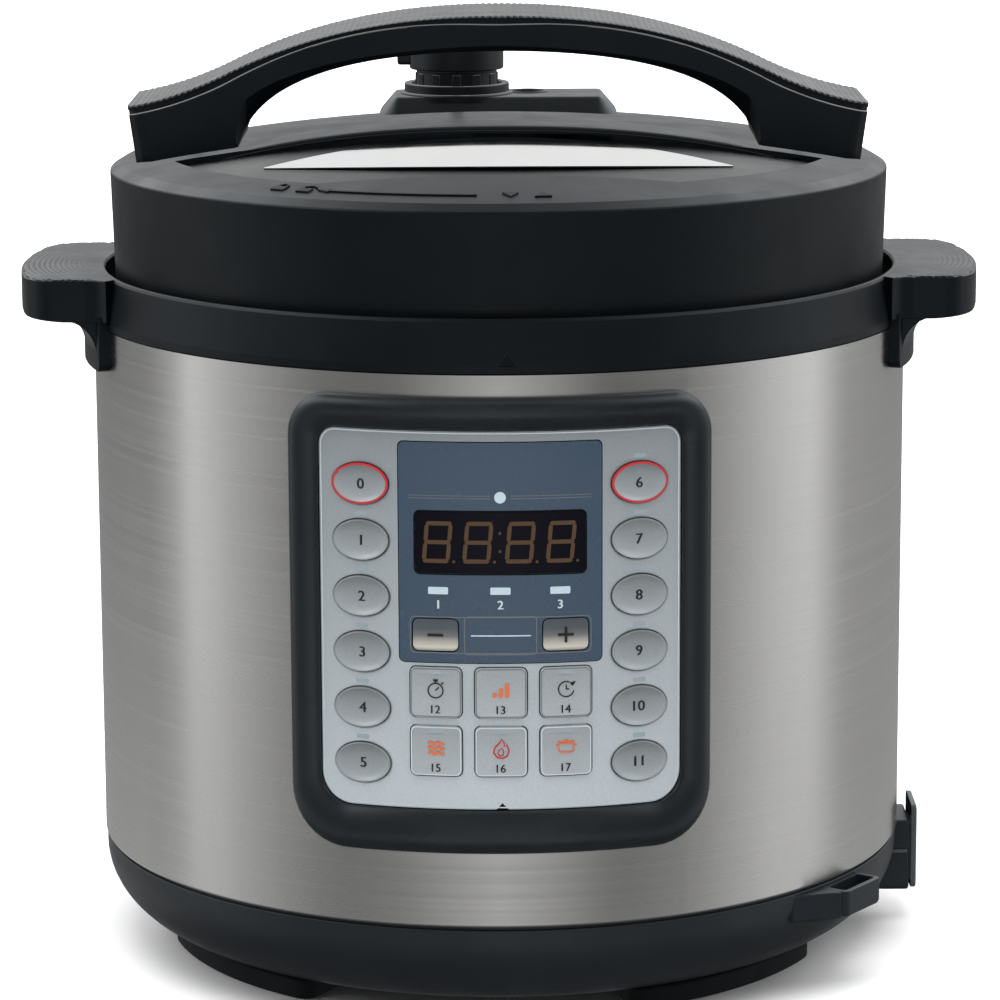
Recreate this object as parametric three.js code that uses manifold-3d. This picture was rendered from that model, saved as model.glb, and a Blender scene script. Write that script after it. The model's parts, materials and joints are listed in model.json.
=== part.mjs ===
// Electric pressure cooker of the six-litre class, as an assembly of separate pieces.
// Millimetres, +Z up, -Y to the front. The origin is on the floor, on the axis of the body.
import * as THREE from 'three';
import { mergeVertices } from 'three/addons/utils/BufferGeometryUtils.js';
import Module from 'manifold-3d';

const wasm = await Module();
wasm.setup();

// ---- Driving dimensions ----
const GAP = 0.3; // between two pieces that touch
const ROUND = 40; // facets round the body
const FINE = 72; // facets round the shell and the curved control panel

const FOOT_HEIGHT = 6.2;
const FOOT_RADII = [96, 118];
const FOOT_SPAN = 41;
const FOOT_ANGLES = {
  foot_front_left: 215,
  foot_front_right: 313.5,
  foot_back_right: 35,
  foot_back_left: 133.5,
};

const BASE_BOTTOM = 6.5;
const BASE_RIM = 37.8;
const BASE_RADIUS = 142.5;
const BASE_WALL = 2.6;
const BASE_FLAT_RADIUS = 110; // where the bowl turns up from the flat underside
const BASE_SHOULDER = 34;
const BASE_OPENING = 96;

const SHELL_RADIUS = 143;
const SHELL_WALL = 0.8;
const SHELL_BOTTOM = 39;
const COLLAR_BOTTOM = 224;
const COLLAR_TOP = 241.8;
const TROUGH_FLOOR = 229;

const EAR_BOTTOM = 227;
const TAB_BOTTOM = 209.5;
const TAB_RADII = [143.5, 146.6];
const TAB_HALF_ANGLE = 22.6;

const VESSEL_RADII = [116, 117.5];
const VESSEL_BOTTOM = 50;
const VESSEL_TOP = 240;
const LOCK_TEETH = 6;
const TOOTH_SPAN = 24;

const PLATE_TOP = 67.6;
const POT_RADII = [110, 111.2];
const POT_BOTTOM = 68;
const POT_RIM = 242.8;

const LID_EDGE_RADIUS = 131.8; // inner edge of the chamfer round the lid's top
const LID_EDGE_HEIGHT = 278;
const LID_RISE = 13; // of the dome, from its edge to its centre
const LID_WALL = 2.5;
const DOME_RADII = [LID_EDGE_RADIUS, 105, 70, 35, 0];
const SKIRT_BOTTOM = 232.3;
const PRESSURE_LID_TOP = 263.5;
const SCREW_X = 107; // of the two screws that hold the handle
const BRIDGE_FRONT = -36;
const BRIDGE_BACK = -10;

const HANDLE_HALF_WIDTH = 27.5;
const VALVE_X = -15;
const VALVE_Y = 52;
const FLOAT_X = 10.7;
const FLOAT_Y = 55;
const BLOCK_TOP = 295;

const PANEL_RADIUS = 145; // arc lengths on the control panel are measured at this radius
const KEY_RADII = [139.5, 144.9];
const KEY_CLEARANCE = 0.35;
const OVAL_COLUMN = 46.4;
const OVAL_BOTTOM_ROW = 94.3;
const OVAL_PITCH = 18.66;
const OVAL_SIZE = [19.1, 13.4];
const MODE_COLUMN = 21.4;
const MODE_ROWS = [119.1, 99.4];
const MODE_SIZE = [17.1, 16.8];
const STEP_KEY_HEIGHT = 138.3;
const STEP_KEY_SIZE = [15, 10.6];

const CUP_FRONT = 128;
const CUP_BACK = 147.5;
const CUP_HEIGHTS = [150, 212];
const CUP_HALF_WIDTH = 24;
const CUP_WALL = 1.6;

const LUG_ANGLE = -35.8;
const INLET_HALF_WIDTH = 9.5;
const INLET_HEIGHTS = [15, 35.4];

// ---- Tools ----
const radians = THREE.MathUtils.degToRad;

function signedVolume(position, index) {
  const [a, b, c] = [new THREE.Vector3(), new THREE.Vector3(), new THREE.Vector3()];
  let volume = 0;
  for (let i = 0; i < index.length; i += 3) {
    a.fromBufferAttribute(position, index[i]);
    b.fromBufferAttribute(position, index[i + 1]);
    c.fromBufferAttribute(position, index[i + 2]);
    volume += a.dot(b.cross(c)) / 6;
  }
  return volume;
}

// Turns a closed geometry into a solid, with its shared vertices merged and its faces pointing out.
function solid(geometry) {
  const bare = geometry.clone();
  bare.deleteAttribute('normal');
  bare.deleteAttribute('uv');
  const merged = mergeVertices(bare, 1e-4);
  const triangles = [];
  const all = merged.index.array;
  for (let i = 0; i < all.length; i += 3) {
    const [a, b, c] = [all[i], all[i + 1], all[i + 2]];
    if (a !== b && b !== c && c !== a) triangles.push(a, b, c);
  }
  if (signedVolume(merged.attributes.position, triangles) < 0) triangles.reverse();
  return new wasm.Manifold(new wasm.Mesh({
    numProp: 3,
    vertProperties: new Float32Array(merged.attributes.position.array),
    triVerts: new Uint32Array(triangles),
  }));
}

// A profile of [radius, height] points, closed on itself or on the axis, turned round the Z axis.
function revolve(profile, facets = ROUND) {
  const points = profile.map(([radius, height]) => new THREE.Vector2(radius, height));
  const onAxis = profile[0][0] === 0 && profile[profile.length - 1][0] === 0;
  if (!onAxis) points.push(points[0].clone());
  return solid(new THREE.LatheGeometry(points, facets).rotateX(Math.PI / 2));
}

// An outline in X and Y, drawn up from the first height to the second.
function upright(shape, bottom, top, curveSegments = 8) {
  const options = { depth: top - bottom, bevelEnabled: false, curveSegments };
  return solid(new THREE.ExtrudeGeometry(shape, options).translate(0, 0, bottom));
}

// An outline in X and Z, drawn along Y.
function throughY(shape, front, back, curveSegments = 8) {
  const options = { depth: back - front, bevelEnabled: false, curveSegments };
  return solid(new THREE.ExtrudeGeometry(shape, options).rotateX(Math.PI / 2).translate(0, back, 0));
}

function block([left, right], [front, back], [bottom, top]) {
  const geometry = new THREE.BoxGeometry(right - left, back - front, top - bottom);
  return solid(geometry.translate((left + right) / 2, (front + back) / 2, (bottom + top) / 2));
}

function post(x, y, radius, bottom, top, facets = 16) {
  const geometry = new THREE.CylinderGeometry(radius, radius, top - bottom, facets);
  return solid(geometry.rotateX(Math.PI / 2).translate(x, y, (bottom + top) / 2));
}

function roundedOutline(left, right, bottom, top, radius) {
  const shape = new THREE.Shape();
  shape.moveTo(left + radius, bottom);
  shape.lineTo(right - radius, bottom);
  shape.absarc(right - radius, bottom + radius, radius, -Math.PI / 2, 0);
  shape.lineTo(right, top - radius);
  shape.absarc(right - radius, top - radius, radius, 0, Math.PI / 2);
  shape.lineTo(left + radius, top);
  shape.absarc(left + radius, top - radius, radius, Math.PI / 2, Math.PI);
  shape.lineTo(left, bottom + radius);
  shape.absarc(left + radius, bottom + radius, radius, Math.PI, 1.5 * Math.PI);
  return shape;
}

// Part of a ring seen from above, round the angle in the middle of its span, in degrees.
function ringSector([inner, outer], middle, span) {
  const start = radians(middle - span / 2);
  const end = radians(middle + span / 2);
  const shape = new THREE.Shape();
  shape.absarc(0, 0, outer, start, end, false);
  shape.absarc(0, 0, inner, end, start, true);
  return shape;
}

function lockTeeth(radii, bottom, top, firstAngle) {
  const teeth = [];
  for (let i = 0; i < LOCK_TEETH; i++) {
    const angle = firstAngle + i * 360 / LOCK_TEETH;
    teeth.push(upright(ringSector(radii, angle, TOOTH_SPAN), bottom, top, 2));
  }
  return teeth;
}

function joined(first, others) {
  return others.reduce((sum, other) => sum.add(other), first);
}

function cut(first, others) {
  return others.reduce((rest, other) => rest.subtract(other), first);
}

const surfaces = {
  black_plastic: { color: 0x2b2e32, roughness: 0.45, metalness: 0 },
  dark_plastic: { color: 0x3a3d40, roughness: 0.5, metalness: 0 },
  rubber: { color: 0x1c1d1f, roughness: 0.85, metalness: 0 },
  brushed_steel: { color: 0xa6a59f, roughness: 0.32, metalness: 1 },
  polished_steel: { color: 0xd8d9d8, roughness: 0.1, metalness: 1 },
  aluminium: { color: 0xb4b6b8, roughness: 0.4, metalness: 1 },
  silver_fascia: { color: 0xaab2b8, roughness: 0.4, metalness: 0.3 },
  blue_window: { color: 0x3e4e5f, roughness: 0.2, metalness: 0 },
  display: { color: 0x101018, roughness: 0.15, metalness: 0 },
  circuit_board: { color: 0x2c6e49, roughness: 0.6, metalness: 0 },
  silicone: { color: 0xd9d6cc, roughness: 0.6, metalness: 0 },
};

function piece(name, surface, body) {
  const data = body.getMesh();
  const geometry = new THREE.BufferGeometry();
  geometry.setAttribute('position', new THREE.BufferAttribute(new Float32Array(data.vertProperties), 3));
  geometry.setIndex(new THREE.BufferAttribute(new Uint32Array(data.triVerts), 1));
  geometry.computeVertexNormals();
  const mesh = new THREE.Mesh(geometry, new THREE.MeshStandardMaterial(surfaces[surface]));
  mesh.name = name;
  return mesh;
}

// ---- Base ----

// Points of the bowl's quarter ellipse, moved inwards by the offset.
function bowlCurve(offset, count) {
  const points = [];
  for (let i = 0; i <= count; i++) {
    const angle = (Math.PI / 2) * (i / count);
    points.push([
      BASE_FLAT_RADIUS + (BASE_RADIUS - BASE_FLAT_RADIUS - offset) * Math.cos(angle),
      BASE_SHOULDER - (BASE_SHOULDER - BASE_BOTTOM - offset) * Math.sin(angle),
    ]);
  }
  return points;
}

function baseHousing() {
  const upstand = SHELL_RADIUS - SHELL_WALL - 0.6; // the steel shell slips over it
  const bowl = revolve([
    [BASE_RADIUS, BASE_RIM],
    ...bowlCurve(0, 4),
    [BASE_OPENING, BASE_BOTTOM],
    [BASE_OPENING, BASE_BOTTOM + BASE_WALL],
    ...bowlCurve(BASE_WALL, 3).reverse(),
    [upstand - 2, BASE_RIM + 6],
    [upstand, BASE_RIM + 6],
    [upstand, BASE_RIM],
  ]);
  const inletBoss = block([134, 147.3], [-12, 12], [12, 38]);
  const inletHole = block(
    [120, 160],
    [-INLET_HALF_WIDTH - GAP, INLET_HALF_WIDTH + GAP],
    [INLET_HEIGHTS[0] - GAP, INLET_HEIGHTS[1] + GAP],
  );
  return bowl.add(inletBoss).subtract(inletHole);
}

function bottomPlate() {
  const outline = new THREE.Shape();
  outline.absarc(0, 0, BASE_OPENING - 0.5, 0, 2 * Math.PI);
  const screwHole = new THREE.Path();
  screwHole.absarc(0, 0, 3, 0, 2 * Math.PI);
  outline.holes.push(screwHole);
  const plate = upright(outline, BASE_BOTTOM + 0.4, BASE_BOTTOM + 2, 16);
  const vents = [];
  for (let angle = 0; angle < 360; angle += 60) {
    vents.push(upright(ringSector([60, 66], angle, 30), BASE_BOTTOM - 1, BASE_BOTTOM + 4, 2));
  }
  return cut(plate, vents);
}

function bottomScrew() {
  return revolve([[0, 5.2], [5, 5.2], [5.4, 6.6], [2.4, 6.6], [2.4, 20], [0, 20]], 16);
}

function foot(angle) {
  return upright(ringSector(FOOT_RADII, angle, FOOT_SPAN), 0, FOOT_HEIGHT, 4);
}

// An open-topped pocket that stands out from the base, for a clip-in holder.
function accessoryPocket() {
  const body = block([135, 153.2], [-11.7, 11.7], [28, 37.4]);
  const hollow = block([144.6, 151.2], [-9.5, 9.5], [29.6, 40]);
  const against = post(0, 0, SHELL_RADIUS + 0.2, 20, 40, ROUND);
  return body.subtract(hollow).rotate([0, 0, LUG_ANGLE]).subtract(against);
}

function inletSocket() {
  const [bottom, top] = INLET_HEIGHTS;
  const flange = block([147.6, 150], [-12, 12], [12.5, 42.2]);
  const housing = block([126, 149], [-INLET_HALF_WIDTH, INLET_HALF_WIDTH], [bottom, top]);
  const cavity = block([132, 155], [-7.5, 7.5], [bottom + 2, top - 2]);
  const middle = (bottom + top) / 2;
  const pins = [
    block([131, 142], [-4.5, -2.5], [middle - 2, middle + 2]),
    block([131, 142], [1.5, 3.5], [middle - 7, middle - 3]),
    block([131, 142], [1.5, 3.5], [middle + 3, middle + 7]),
  ];
  return joined(flange.add(housing).subtract(cavity), pins);
}

function powerBoard() {
  const board = block([-75, 15], [-70, -8], [22, 23.6]);
  const capacitor = post(-58, -22, 9, 23, 45);
  const transformer = block([-38, -16], [-34, -14], [23, 41]);
  const relay = block([-66, -48], [-62, -44], [23, 38]);
  const heatSink = block([-12, 4], [-60, -30], [23, 35]);
  return joined(board, [capacitor, transformer, relay, heatSink]);
}

function pressureSwitch() {
  const body = block([34, 58], [24, 38], [28, 44]);
  const bracket = block([30, 62], [29, 33], [44, 49.6]);
  return body.add(bracket).add(block([43, 49], [28, 34], [26, 30]));
}

// ---- Body ----

function outerShell() {
  const inner = SHELL_RADIUS - SHELL_WALL;
  const tube = revolve([
    [SHELL_RADIUS, SHELL_BOTTOM],
    [SHELL_RADIUS, COLLAR_BOTTOM - GAP],
    [inner, COLLAR_BOTTOM - GAP],
    [inner, SHELL_BOTTOM],
  ], FINE);
  const [cupBottom, cupTop] = CUP_HEIGHTS;
  return cut(tube, [
    block([-61.5, 61.5], [-160, -100], [77.5, 208]),
    block([-CUP_HALF_WIDTH - 2.6, CUP_HALF_WIDTH + 2.6], [100, 160], [cupBottom - 2.6, cupTop + 2.6]),
  ]);
}

// Outline of one carrying ear from above, on the right of the body.
function earOutline() {
  const shape = new THREE.Shape();
  shape.moveTo(132, -48.5);
  shape.lineTo(152, -48.2);
  shape.quadraticCurveTo(163.5, -47.5, 165.2, -31);
  shape.quadraticCurveTo(170.8, 0, 165.2, 31);
  shape.quadraticCurveTo(163.5, 47.5, 152, 48.2);
  shape.lineTo(132, 48.5);
  return shape;
}

function upperCollar() {
  const ring = revolve([
    [143.2, COLLAR_BOTTOM],
    [143.2, 226.5],
    [140.9, 241],
    [140.2, COLLAR_TOP],
    [139.2, COLLAR_TOP],
    [138.6, 241.2],
    [138.2, TROUGH_FLOOR],
    [119, TROUGH_FLOOR],
    [119, TROUGH_FLOOR - 2.5],
    [139.5, TROUGH_FLOOR - 2.5],
    [139.5, 218],
    [141.5, 218],
    [141.5, COLLAR_BOTTOM],
  ]);
  const ear = upright(earOutline(), EAR_BOTTOM, COLLAR_TOP - 0.2, 5);
  const bore = post(0, 0, 139.5, EAR_BOTTOM - 5, COLLAR_TOP + 5, ROUND);
  const tabSpan = 2 * TAB_HALF_ANGLE;
  const tab = upright(ringSector(TAB_RADII, 0, tabSpan), TAB_BOTTOM, EAR_BOTTOM + 1, 4);
  const tabRoot = upright(ringSector([141, TAB_RADII[1]], 0, tabSpan), COLLAR_BOTTOM, EAR_BOTTOM + 1, 4);
  const cove = revolve([
    [145, EAR_BOTTOM + 1],
    [157, EAR_BOTTOM + 1],
    [156, EAR_BOTTOM - 0.2],
    [149.5, 223.5],
    [147, 219.5],
    [146, 212],
    [145, 212],
  ]).intersect(block([100, 170], [-46, 46], [200, 240]));
  const right = ear.subtract(bore).add(tab).add(tabRoot).add(cove);
  const left = right.rotate([0, 0, 180]);
  const drain = post(0, 131, 3, 220, 232);
  return ring.add(right).add(left).subtract(drain);
}

function pressureVessel() {
  const [inner, outer] = VESSEL_RADII;
  const cup = revolve([
    [10, VESSEL_BOTTOM],
    [107, VESSEL_BOTTOM],
    [outer, 60],
    [outer, TROUGH_FLOOR + GAP],
    [126, TROUGH_FLOOR + GAP],
    [126, TROUGH_FLOOR + 1.8],
    [outer, TROUGH_FLOOR + 1.8],
    [outer, VESSEL_TOP],
    [inner, VESSEL_TOP],
    [inner, 60.5],
    [106.4, VESSEL_BOTTOM + 1.5],
    [10, VESSEL_BOTTOM + 1.5],
  ]);
  return joined(cup, lockTeeth([outer - 0.7, 124.5], 236.4, 238.6, 30));
}

function heatingPlate() {
  return revolve([
    [12.6, PLATE_TOP],
    [84, PLATE_TOP],
    [86, 65.6],
    [86, 58],
    [80, VESSEL_BOTTOM + 1.9],
    [6, VESSEL_BOTTOM + 1.9],
    [6, 54],
    [12.6, 54],
  ], 36);
}

function sensorPlunger() {
  return revolve([[0, 67.5], [10.5, 67.5], [12, 66.5], [12, 62], [4, 62], [4, 40], [0, 40]], 24);
}

function sensorSpring() {
  const turns = 3;
  const pitch = 2;
  const path = [];
  for (let i = 0; i <= 12 * turns; i++) {
    const angle = i * Math.PI / 6;
    path.push(new THREE.Vector3(8.5 * Math.cos(angle), 8.5 * Math.sin(angle), 55 + pitch * i / 12));
  }
  const wire = new THREE.Shape();
  wire.absarc(0, 0, 0.7, 0, 2 * Math.PI);
  const options = { steps: 28, curveSegments: 3, extrudePath: new THREE.CatmullRomCurve3(path) };
  return solid(new THREE.ExtrudeGeometry(wire, options));
}

function innerPot() {
  const [inner, outer] = POT_RADII;
  return revolve([
    [0, POT_BOTTOM],
    [102, POT_BOTTOM],
    [outer, 77],
    [outer, VESSEL_TOP + 0.4],
    [119.4, VESSEL_TOP + 0.4],
    [119.4, POT_RIM],
    [110.8, POT_RIM],
    [inner, 241.8],
    [inner, 78],
    [101.4, 70.8],
    [0, 70.8],
  ]);
}

// ---- Condensation cup at the back ----

function cupPocket() {
  const [bottom, top] = CUP_HEIGHTS;
  const half = CUP_HALF_WIDTH;
  const outside = block([-half - 2.2, half + 2.2], [CUP_FRONT - 2.6, 144.5], [bottom - 2.2, top + 2.2]);
  const inside = block([-half - 0.7, half + 0.7], [CUP_FRONT - 0.7, 150], [bottom - 0.7, top + 0.7]);
  const dripHole = post(0, 131, 3, top - 2, top + 5);
  return outside.subtract(inside).subtract(dripHole);
}

function condensationCup() {
  const [bottom, top] = CUP_HEIGHTS;
  const half = CUP_HALF_WIDTH;
  const outside = block([-half, half], [CUP_FRONT, CUP_BACK], [bottom, top]);
  const inside = block(
    [-half + CUP_WALL, half - CUP_WALL],
    [CUP_FRONT + CUP_WALL, CUP_BACK - CUP_WALL],
    [bottom + CUP_WALL, top + 1],
  );
  return outside.subtract(inside);
}

// ---- Control panel ----

function acrossPanel(arc) {
  return PANEL_RADIUS * Math.sin(arc / PANEL_RADIUS);
}

function curvedPlate([inner, outer], shape, bottom, top) {
  const band = revolve([[outer, bottom], [outer, top], [inner, top], [inner, bottom]], FINE);
  return band.intersect(throughY(shape, -170, -90, 2));
}

function panelOutline(halfArc, bottom, top, radius) {
  const half = acrossPanel(halfArc);
  return roundedOutline(-half, half, bottom, top, radius);
}

function ovalOutline([width, height], clearance) {
  const shape = new THREE.Shape();
  shape.absellipse(0, 0, width / 2 + clearance, height / 2 + clearance, 0, 2 * Math.PI);
  return shape;
}

function padOutline([width, height], clearance) {
  const x = width / 2 + clearance;
  const y = height / 2 + clearance;
  return roundedOutline(-x, x, -y, y, 2);
}

// A key's blank stands on the panel's radius at its own place, facing straight out.
function keyGeometry(outline, [inner, outer]) {
  const curveSegments = outline.curves.length > 1 ? 1 : 6; // a pad's corners, or an oval
  const options = { depth: outer - inner, bevelEnabled: false, curveSegments };
  return new THREE.ExtrudeGeometry(outline, options).rotateX(Math.PI / 2).translate(0, -inner, 0);
}

const ovalNames = [
  ['key_cancel', 'key_rice', 'key_multigrain', 'key_soup', 'key_meat_stew', 'key_poultry'],
  ['key_start', 'key_fish', 'key_steam', 'key_beans_chili', 'key_yogurt', 'key_porridge'],
];
const modeNames = [
  ['key_manual', 'key_adjust', 'key_delay'],
  ['key_keep_warm', 'key_sear', 'key_slow_cook'],
];

function keyList() {
  const keys = [];
  ovalNames.forEach((column, side) => column.forEach((name, row) => keys.push({
    name,
    arc: side === 0 ? -OVAL_COLUMN : OVAL_COLUMN,
    height: OVAL_BOTTOM_ROW + (column.length - 1 - row) * OVAL_PITCH,
    outline: (clearance) => ovalOutline(OVAL_SIZE, clearance),
  })));
  modeNames.forEach((row, level) => row.forEach((name, column) => keys.push({
    name,
    arc: (column - 1) * MODE_COLUMN,
    height: MODE_ROWS[level],
    outline: (clearance) => padOutline(MODE_SIZE, clearance),
  })));
  ['key_minus', 'key_plus'].forEach((name, side) => keys.push({
    name,
    arc: side === 0 ? -MODE_COLUMN : MODE_COLUMN,
    height: STEP_KEY_HEIGHT,
    outline: (clearance) => padOutline(STEP_KEY_SIZE, clearance),
  }));
  return keys;
}

const keys = keyList();

function keyHoles() {
  return keys.map((key) => {
    const geometry = keyGeometry(key.outline(KEY_CLEARANCE), [130, 155]);
    return solid(geometry.rotateZ(key.arc / PANEL_RADIUS).translate(0, 0, key.height));
  });
}

function controlBezel() {
  const face = curvedPlate([SHELL_RADIUS + GAP, 147.5], panelOutline(72.1, 64.8, 216.6, 14), 60, 220);
  const liner = curvedPlate([140.2, 144.5], panelOutline(62.9, 78, 207.4, 7), 70, 212);
  const opening = throughY(panelOutline(61.3, 79.4, 206, 6), -170, -90, 2);
  return face.add(liner).subtract(opening);
}

function controlFascia(holes) {
  const plate = curvedPlate([141.4, 144], panelOutline(61, 79.8, 205.6, 5.7), 70, 212);
  const windowHole = throughY(panelOutline(33.75, 128.8, 202.3, 2), -170, -90, 1);
  return cut(plate.subtract(windowHole), holes);
}

function displayWindow(holes) {
  return cut(curvedPlate([141.9, 144.2], panelOutline(33.4, 129.1, 202, 2), 120, 210), holes);
}

function controlBoard() {
  const board = block([-50, 50], [-124.6, -123], [86, 200]);
  const processor = block([-14, 6], [-127, -124], [142, 154]);
  const plug = block([16, 34], [-128, -124], [190, 198]);
  const buzzer = block([-34, -20], [-128, -124], [188, 198]);
  return joined(board, [processor, plug, buzzer]);
}

// ---- Lid ----

function domeHeight(radius) {
  return LID_EDGE_HEIGHT + LID_RISE * (1 - (radius / LID_EDGE_RADIUS) ** 2);
}

function domeCurve(offset, radii) {
  return radii.map((radius) => [radius, domeHeight(radius) + offset]);
}

// Everything below the lid's domed top, raised by the offset.
function underDome(offset) {
  return revolve([
    [0, 220],
    [150, 220],
    [150, domeHeight(150) + offset],
    ...domeCurve(offset, DOME_RADII),
  ]);
}

// The part of the lid's top in front of the bridge, out to a radius and to a straight front edge.
function frontSegment(radius, front, back) {
  const start = Math.asin(back / radius);
  const shape = new THREE.Shape();
  shape.absarc(0, 0, radius, Math.PI - start, 2 * Math.PI + start, false);
  const ahead = block([-150, 150], [front, back + 1], [250, 320]);
  return upright(shape, 270, 300, 10).intersect(ahead);
}

// A raised rib across the lid, between the feet of the handle.
function lidBridge() {
  const shape = new THREE.Shape();
  shape.moveTo(-104, 276);
  shape.lineTo(104, 276);
  shape.lineTo(104, 280.5);
  shape.quadraticCurveTo(60, 291.6, 0, 292.4);
  shape.quadraticCurveTo(-60, 291.6, -104, 280.5);
  return throughY(shape, BRIDGE_FRONT, BRIDGE_BACK, 4);
}

function lidCover() {
  const shell = revolve([
    [135, SKIRT_BOTTOM],
    [136.3, 275.6],
    ...domeCurve(0, DOME_RADII),
    ...domeCurve(-LID_WALL, [0, 60, 105, 129]),
    [133.6, 274],
    [132.4, SKIRT_BOTTOM],
  ]);
  const recess = frontSegment(117, -101, BRIDGE_FRONT).subtract(underDome(-1.8));
  const posts = [-SCREW_X, SCREW_X].map((x) => post(x, 0, 5, PRESSURE_LID_TOP - 1, 281));
  const seat = revolve([
    [0, 240],
    [150, 240],
    [150, 251],
    [130, 251],
    [122.2, 259.4],
    [100, 262.7],
    [0, PRESSURE_LID_TOP + 0.4],
  ]);
  const holes = [
    post(VALVE_X, VALVE_Y, 7, 240, 310),
    post(FLOAT_X, FLOAT_Y, 4.4, 240, 310),
    post(-SCREW_X, 0, 2.6, 240, 310),
    post(SCREW_X, 0, 2.6, 240, 310),
  ];
  const supports = joined(posts[0], [posts[1]]).subtract(seat);
  return cut(shell.subtract(recess).add(lidBridge().subtract(underDome(-1.5))).add(supports), holes);
}

function lidAccent() {
  const sheet = underDome(-0.9).subtract(underDome(-1.5));
  return sheet.intersect(frontSegment(116.4, -100.4, BRIDGE_FRONT - 0.4));
}

function pressureLid() {
  const disc = revolve([
    [0, PRESSURE_LID_TOP],
    [100, 262.3],
    [122, 259],
    [129.5, 250],
    [129.5, 232.8],
    [128, 232.8],
    [128, 249.4],
    [121.2, 257.6],
    [99.8, 260.8],
    [0, PRESSURE_LID_TOP - 1.5],
  ]);
  return cut(joined(disc, lockTeeth([121, 128.7], 233, 235.2, 0)), [
    post(VALVE_X, VALVE_Y, 6, 240, 280),
    post(FLOAT_X, FLOAT_Y, 3.6, 240, 280),
    post(-SCREW_X, 0, 2.5, 240, 280),
    post(SCREW_X, 0, 2.5, 240, 280),
  ]);
}

function lidHandle() {
  const shape = new THREE.Shape();
  shape.moveTo(-128, 299);
  shape.lineTo(-125.3, 270);
  shape.lineTo(-92, 270);
  shape.lineTo(-90, 284);
  shape.quadraticCurveTo(-82, 317, 0, 317);
  shape.quadraticCurveTo(82, 317, 90, 284);
  shape.lineTo(92, 270);
  shape.lineTo(125.3, 270);
  shape.lineTo(128, 299);
  shape.quadraticCurveTo(112, 301.4, 94.5, 309.8);
  shape.bezierCurveTo(66, 324, 34, 329.6, 0, 329.6);
  shape.bezierCurveTo(-34, 329.6, -66, 324, -94.5, 309.8);
  shape.quadraticCurveTo(-112, 301.4, -128, 299);
  const arch = throughY(shape, -HANDLE_HALF_WIDTH, HANDLE_HALF_WIDTH, 10);
  const overBridge = lidBridge().translate([0, 0, GAP]);
  const widerBridge = joined(overBridge, [-0.4, 0.4].map((side) => overBridge.translate([side, 0.4, 0])));
  return cut(arch.subtract(underDome(0.35)).subtract(widerBridge), [
    post(-SCREW_X, 0, 2.4, 260, 293),
    post(SCREW_X, 0, 2.4, 260, 293),
  ]);
}

function handleScrew() {
  return revolve([[0, 255.4], [3.6, 255.4], [4.2, 256.4], [4.2, 258.7], [2, 258.7], [2, 292], [0, 292]], 16);
}

function valveBlock() {
  const outline = roundedOutline(-39, 39, 34, 69, 2);
  const options = { depth: 10, curveSegments: 2, bevelSize: 3, bevelThickness: 3, bevelSegments: 1 };
  const raised = solid(new THREE.ExtrudeGeometry(outline, options).translate(0, 0, BLOCK_TOP - 13));
  const seatRing = post(VALVE_X, VALVE_Y, 19, BLOCK_TOP - 1, BLOCK_TOP + 4, 24);
  return cut(raised.add(seatRing).subtract(underDome(0.35)), [
    post(VALVE_X, VALVE_Y, 16, BLOCK_TOP + 1.5, 305, 24),
    post(VALVE_X, VALVE_Y, 7, 270, 305),
    post(FLOAT_X, FLOAT_Y, 5.9, 270, 305, 20),
  ]);
}

function exhaustPipe() {
  return revolve([
    [1.8, 252],
    [5, 252],
    [5, 264.2],
    [6.4, 264.2],
    [6.4, 268],
    [5, 268],
    [4, 310],
    [1.8, 310],
  ], 12);
}

function steamKnob() {
  const body = revolve([
    [0, 322],
    [15.5, 322],
    [17.1, 320.4],
    [17.1, 304],
    [14.6, 303.4],
    [14.6, 297],
    [6, 297],
    [6, 313],
    [0, 313],
  ], 24);
  return body.add(block([-21.5, -14], [-4.5, 4.5], [305.5, 317]));
}

function floatPin() {
  return revolve([
    [0, 251.4],
    [2.6, 251.4],
    [2.6, 264.4],
    [4.1, 264.4],
    [4.1, 267],
    [3.4, 268],
    [3.4, 292.6],
    [2.8, 293.4],
    [0, 293.4],
  ], 16);
}

function floatSeal() {
  return revolve([[0, 247.5], [4, 247.5], [6, 249], [6, 251], [0, 251]], 16);
}

function sealingRing() {
  return revolve([
    [107, 243.4],
    [119.5, 243.4],
    [120, 253],
    [118.6, 254],
    [107, 254],
    [106, 253],
  ]);
}

function ringRack() {
  return solid(new THREE.TorusGeometry(104, 1.2, 5, 40).translate(0, 0, 249));
}

function antiBlockShield() {
  const cap = revolve([
    [0, 243.5],
    [10, 243.5],
    [12, 245.5],
    [12, 261],
    [10.8, 261],
    [10.8, 246],
    [9.6, 244.7],
    [0, 244.7],
  ], 16).translate([VALVE_X, VALVE_Y, 0]);
  const slots = [0, 60, 120].map((angle) => {
    return block([-20, 20], [-2.4, 2.4], [248, 256]).rotate([0, 0, angle]).translate([VALVE_X, VALVE_Y, 0]);
  });
  return cut(cap, slots);
}

// ---- Assembly ----

function keyMesh(key) {
  const mesh = piece(key.name, 'silver_fascia', solid(keyGeometry(key.outline(0), KEY_RADII)));
  mesh.rotation.z = key.arc / PANEL_RADIUS;
  mesh.position.z = key.height;
  return mesh;
}

function base() {
  const group = new THREE.Group();
  group.add(
    piece('base_housing', 'black_plastic', baseHousing()),
    piece('bottom_plate', 'dark_plastic', bottomPlate()),
    piece('bottom_screw', 'aluminium', bottomScrew()),
    piece('accessory_pocket', 'black_plastic', accessoryPocket()),
    piece('inlet_socket', 'black_plastic', inletSocket()),
    piece('power_board', 'circuit_board', powerBoard()),
    piece('pressure_switch', 'dark_plastic', pressureSwitch()),
  );
  for (const [name, angle] of Object.entries(FOOT_ANGLES)) {
    group.add(piece(name, 'rubber', foot(angle)));
  }
  return group;
}

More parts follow.
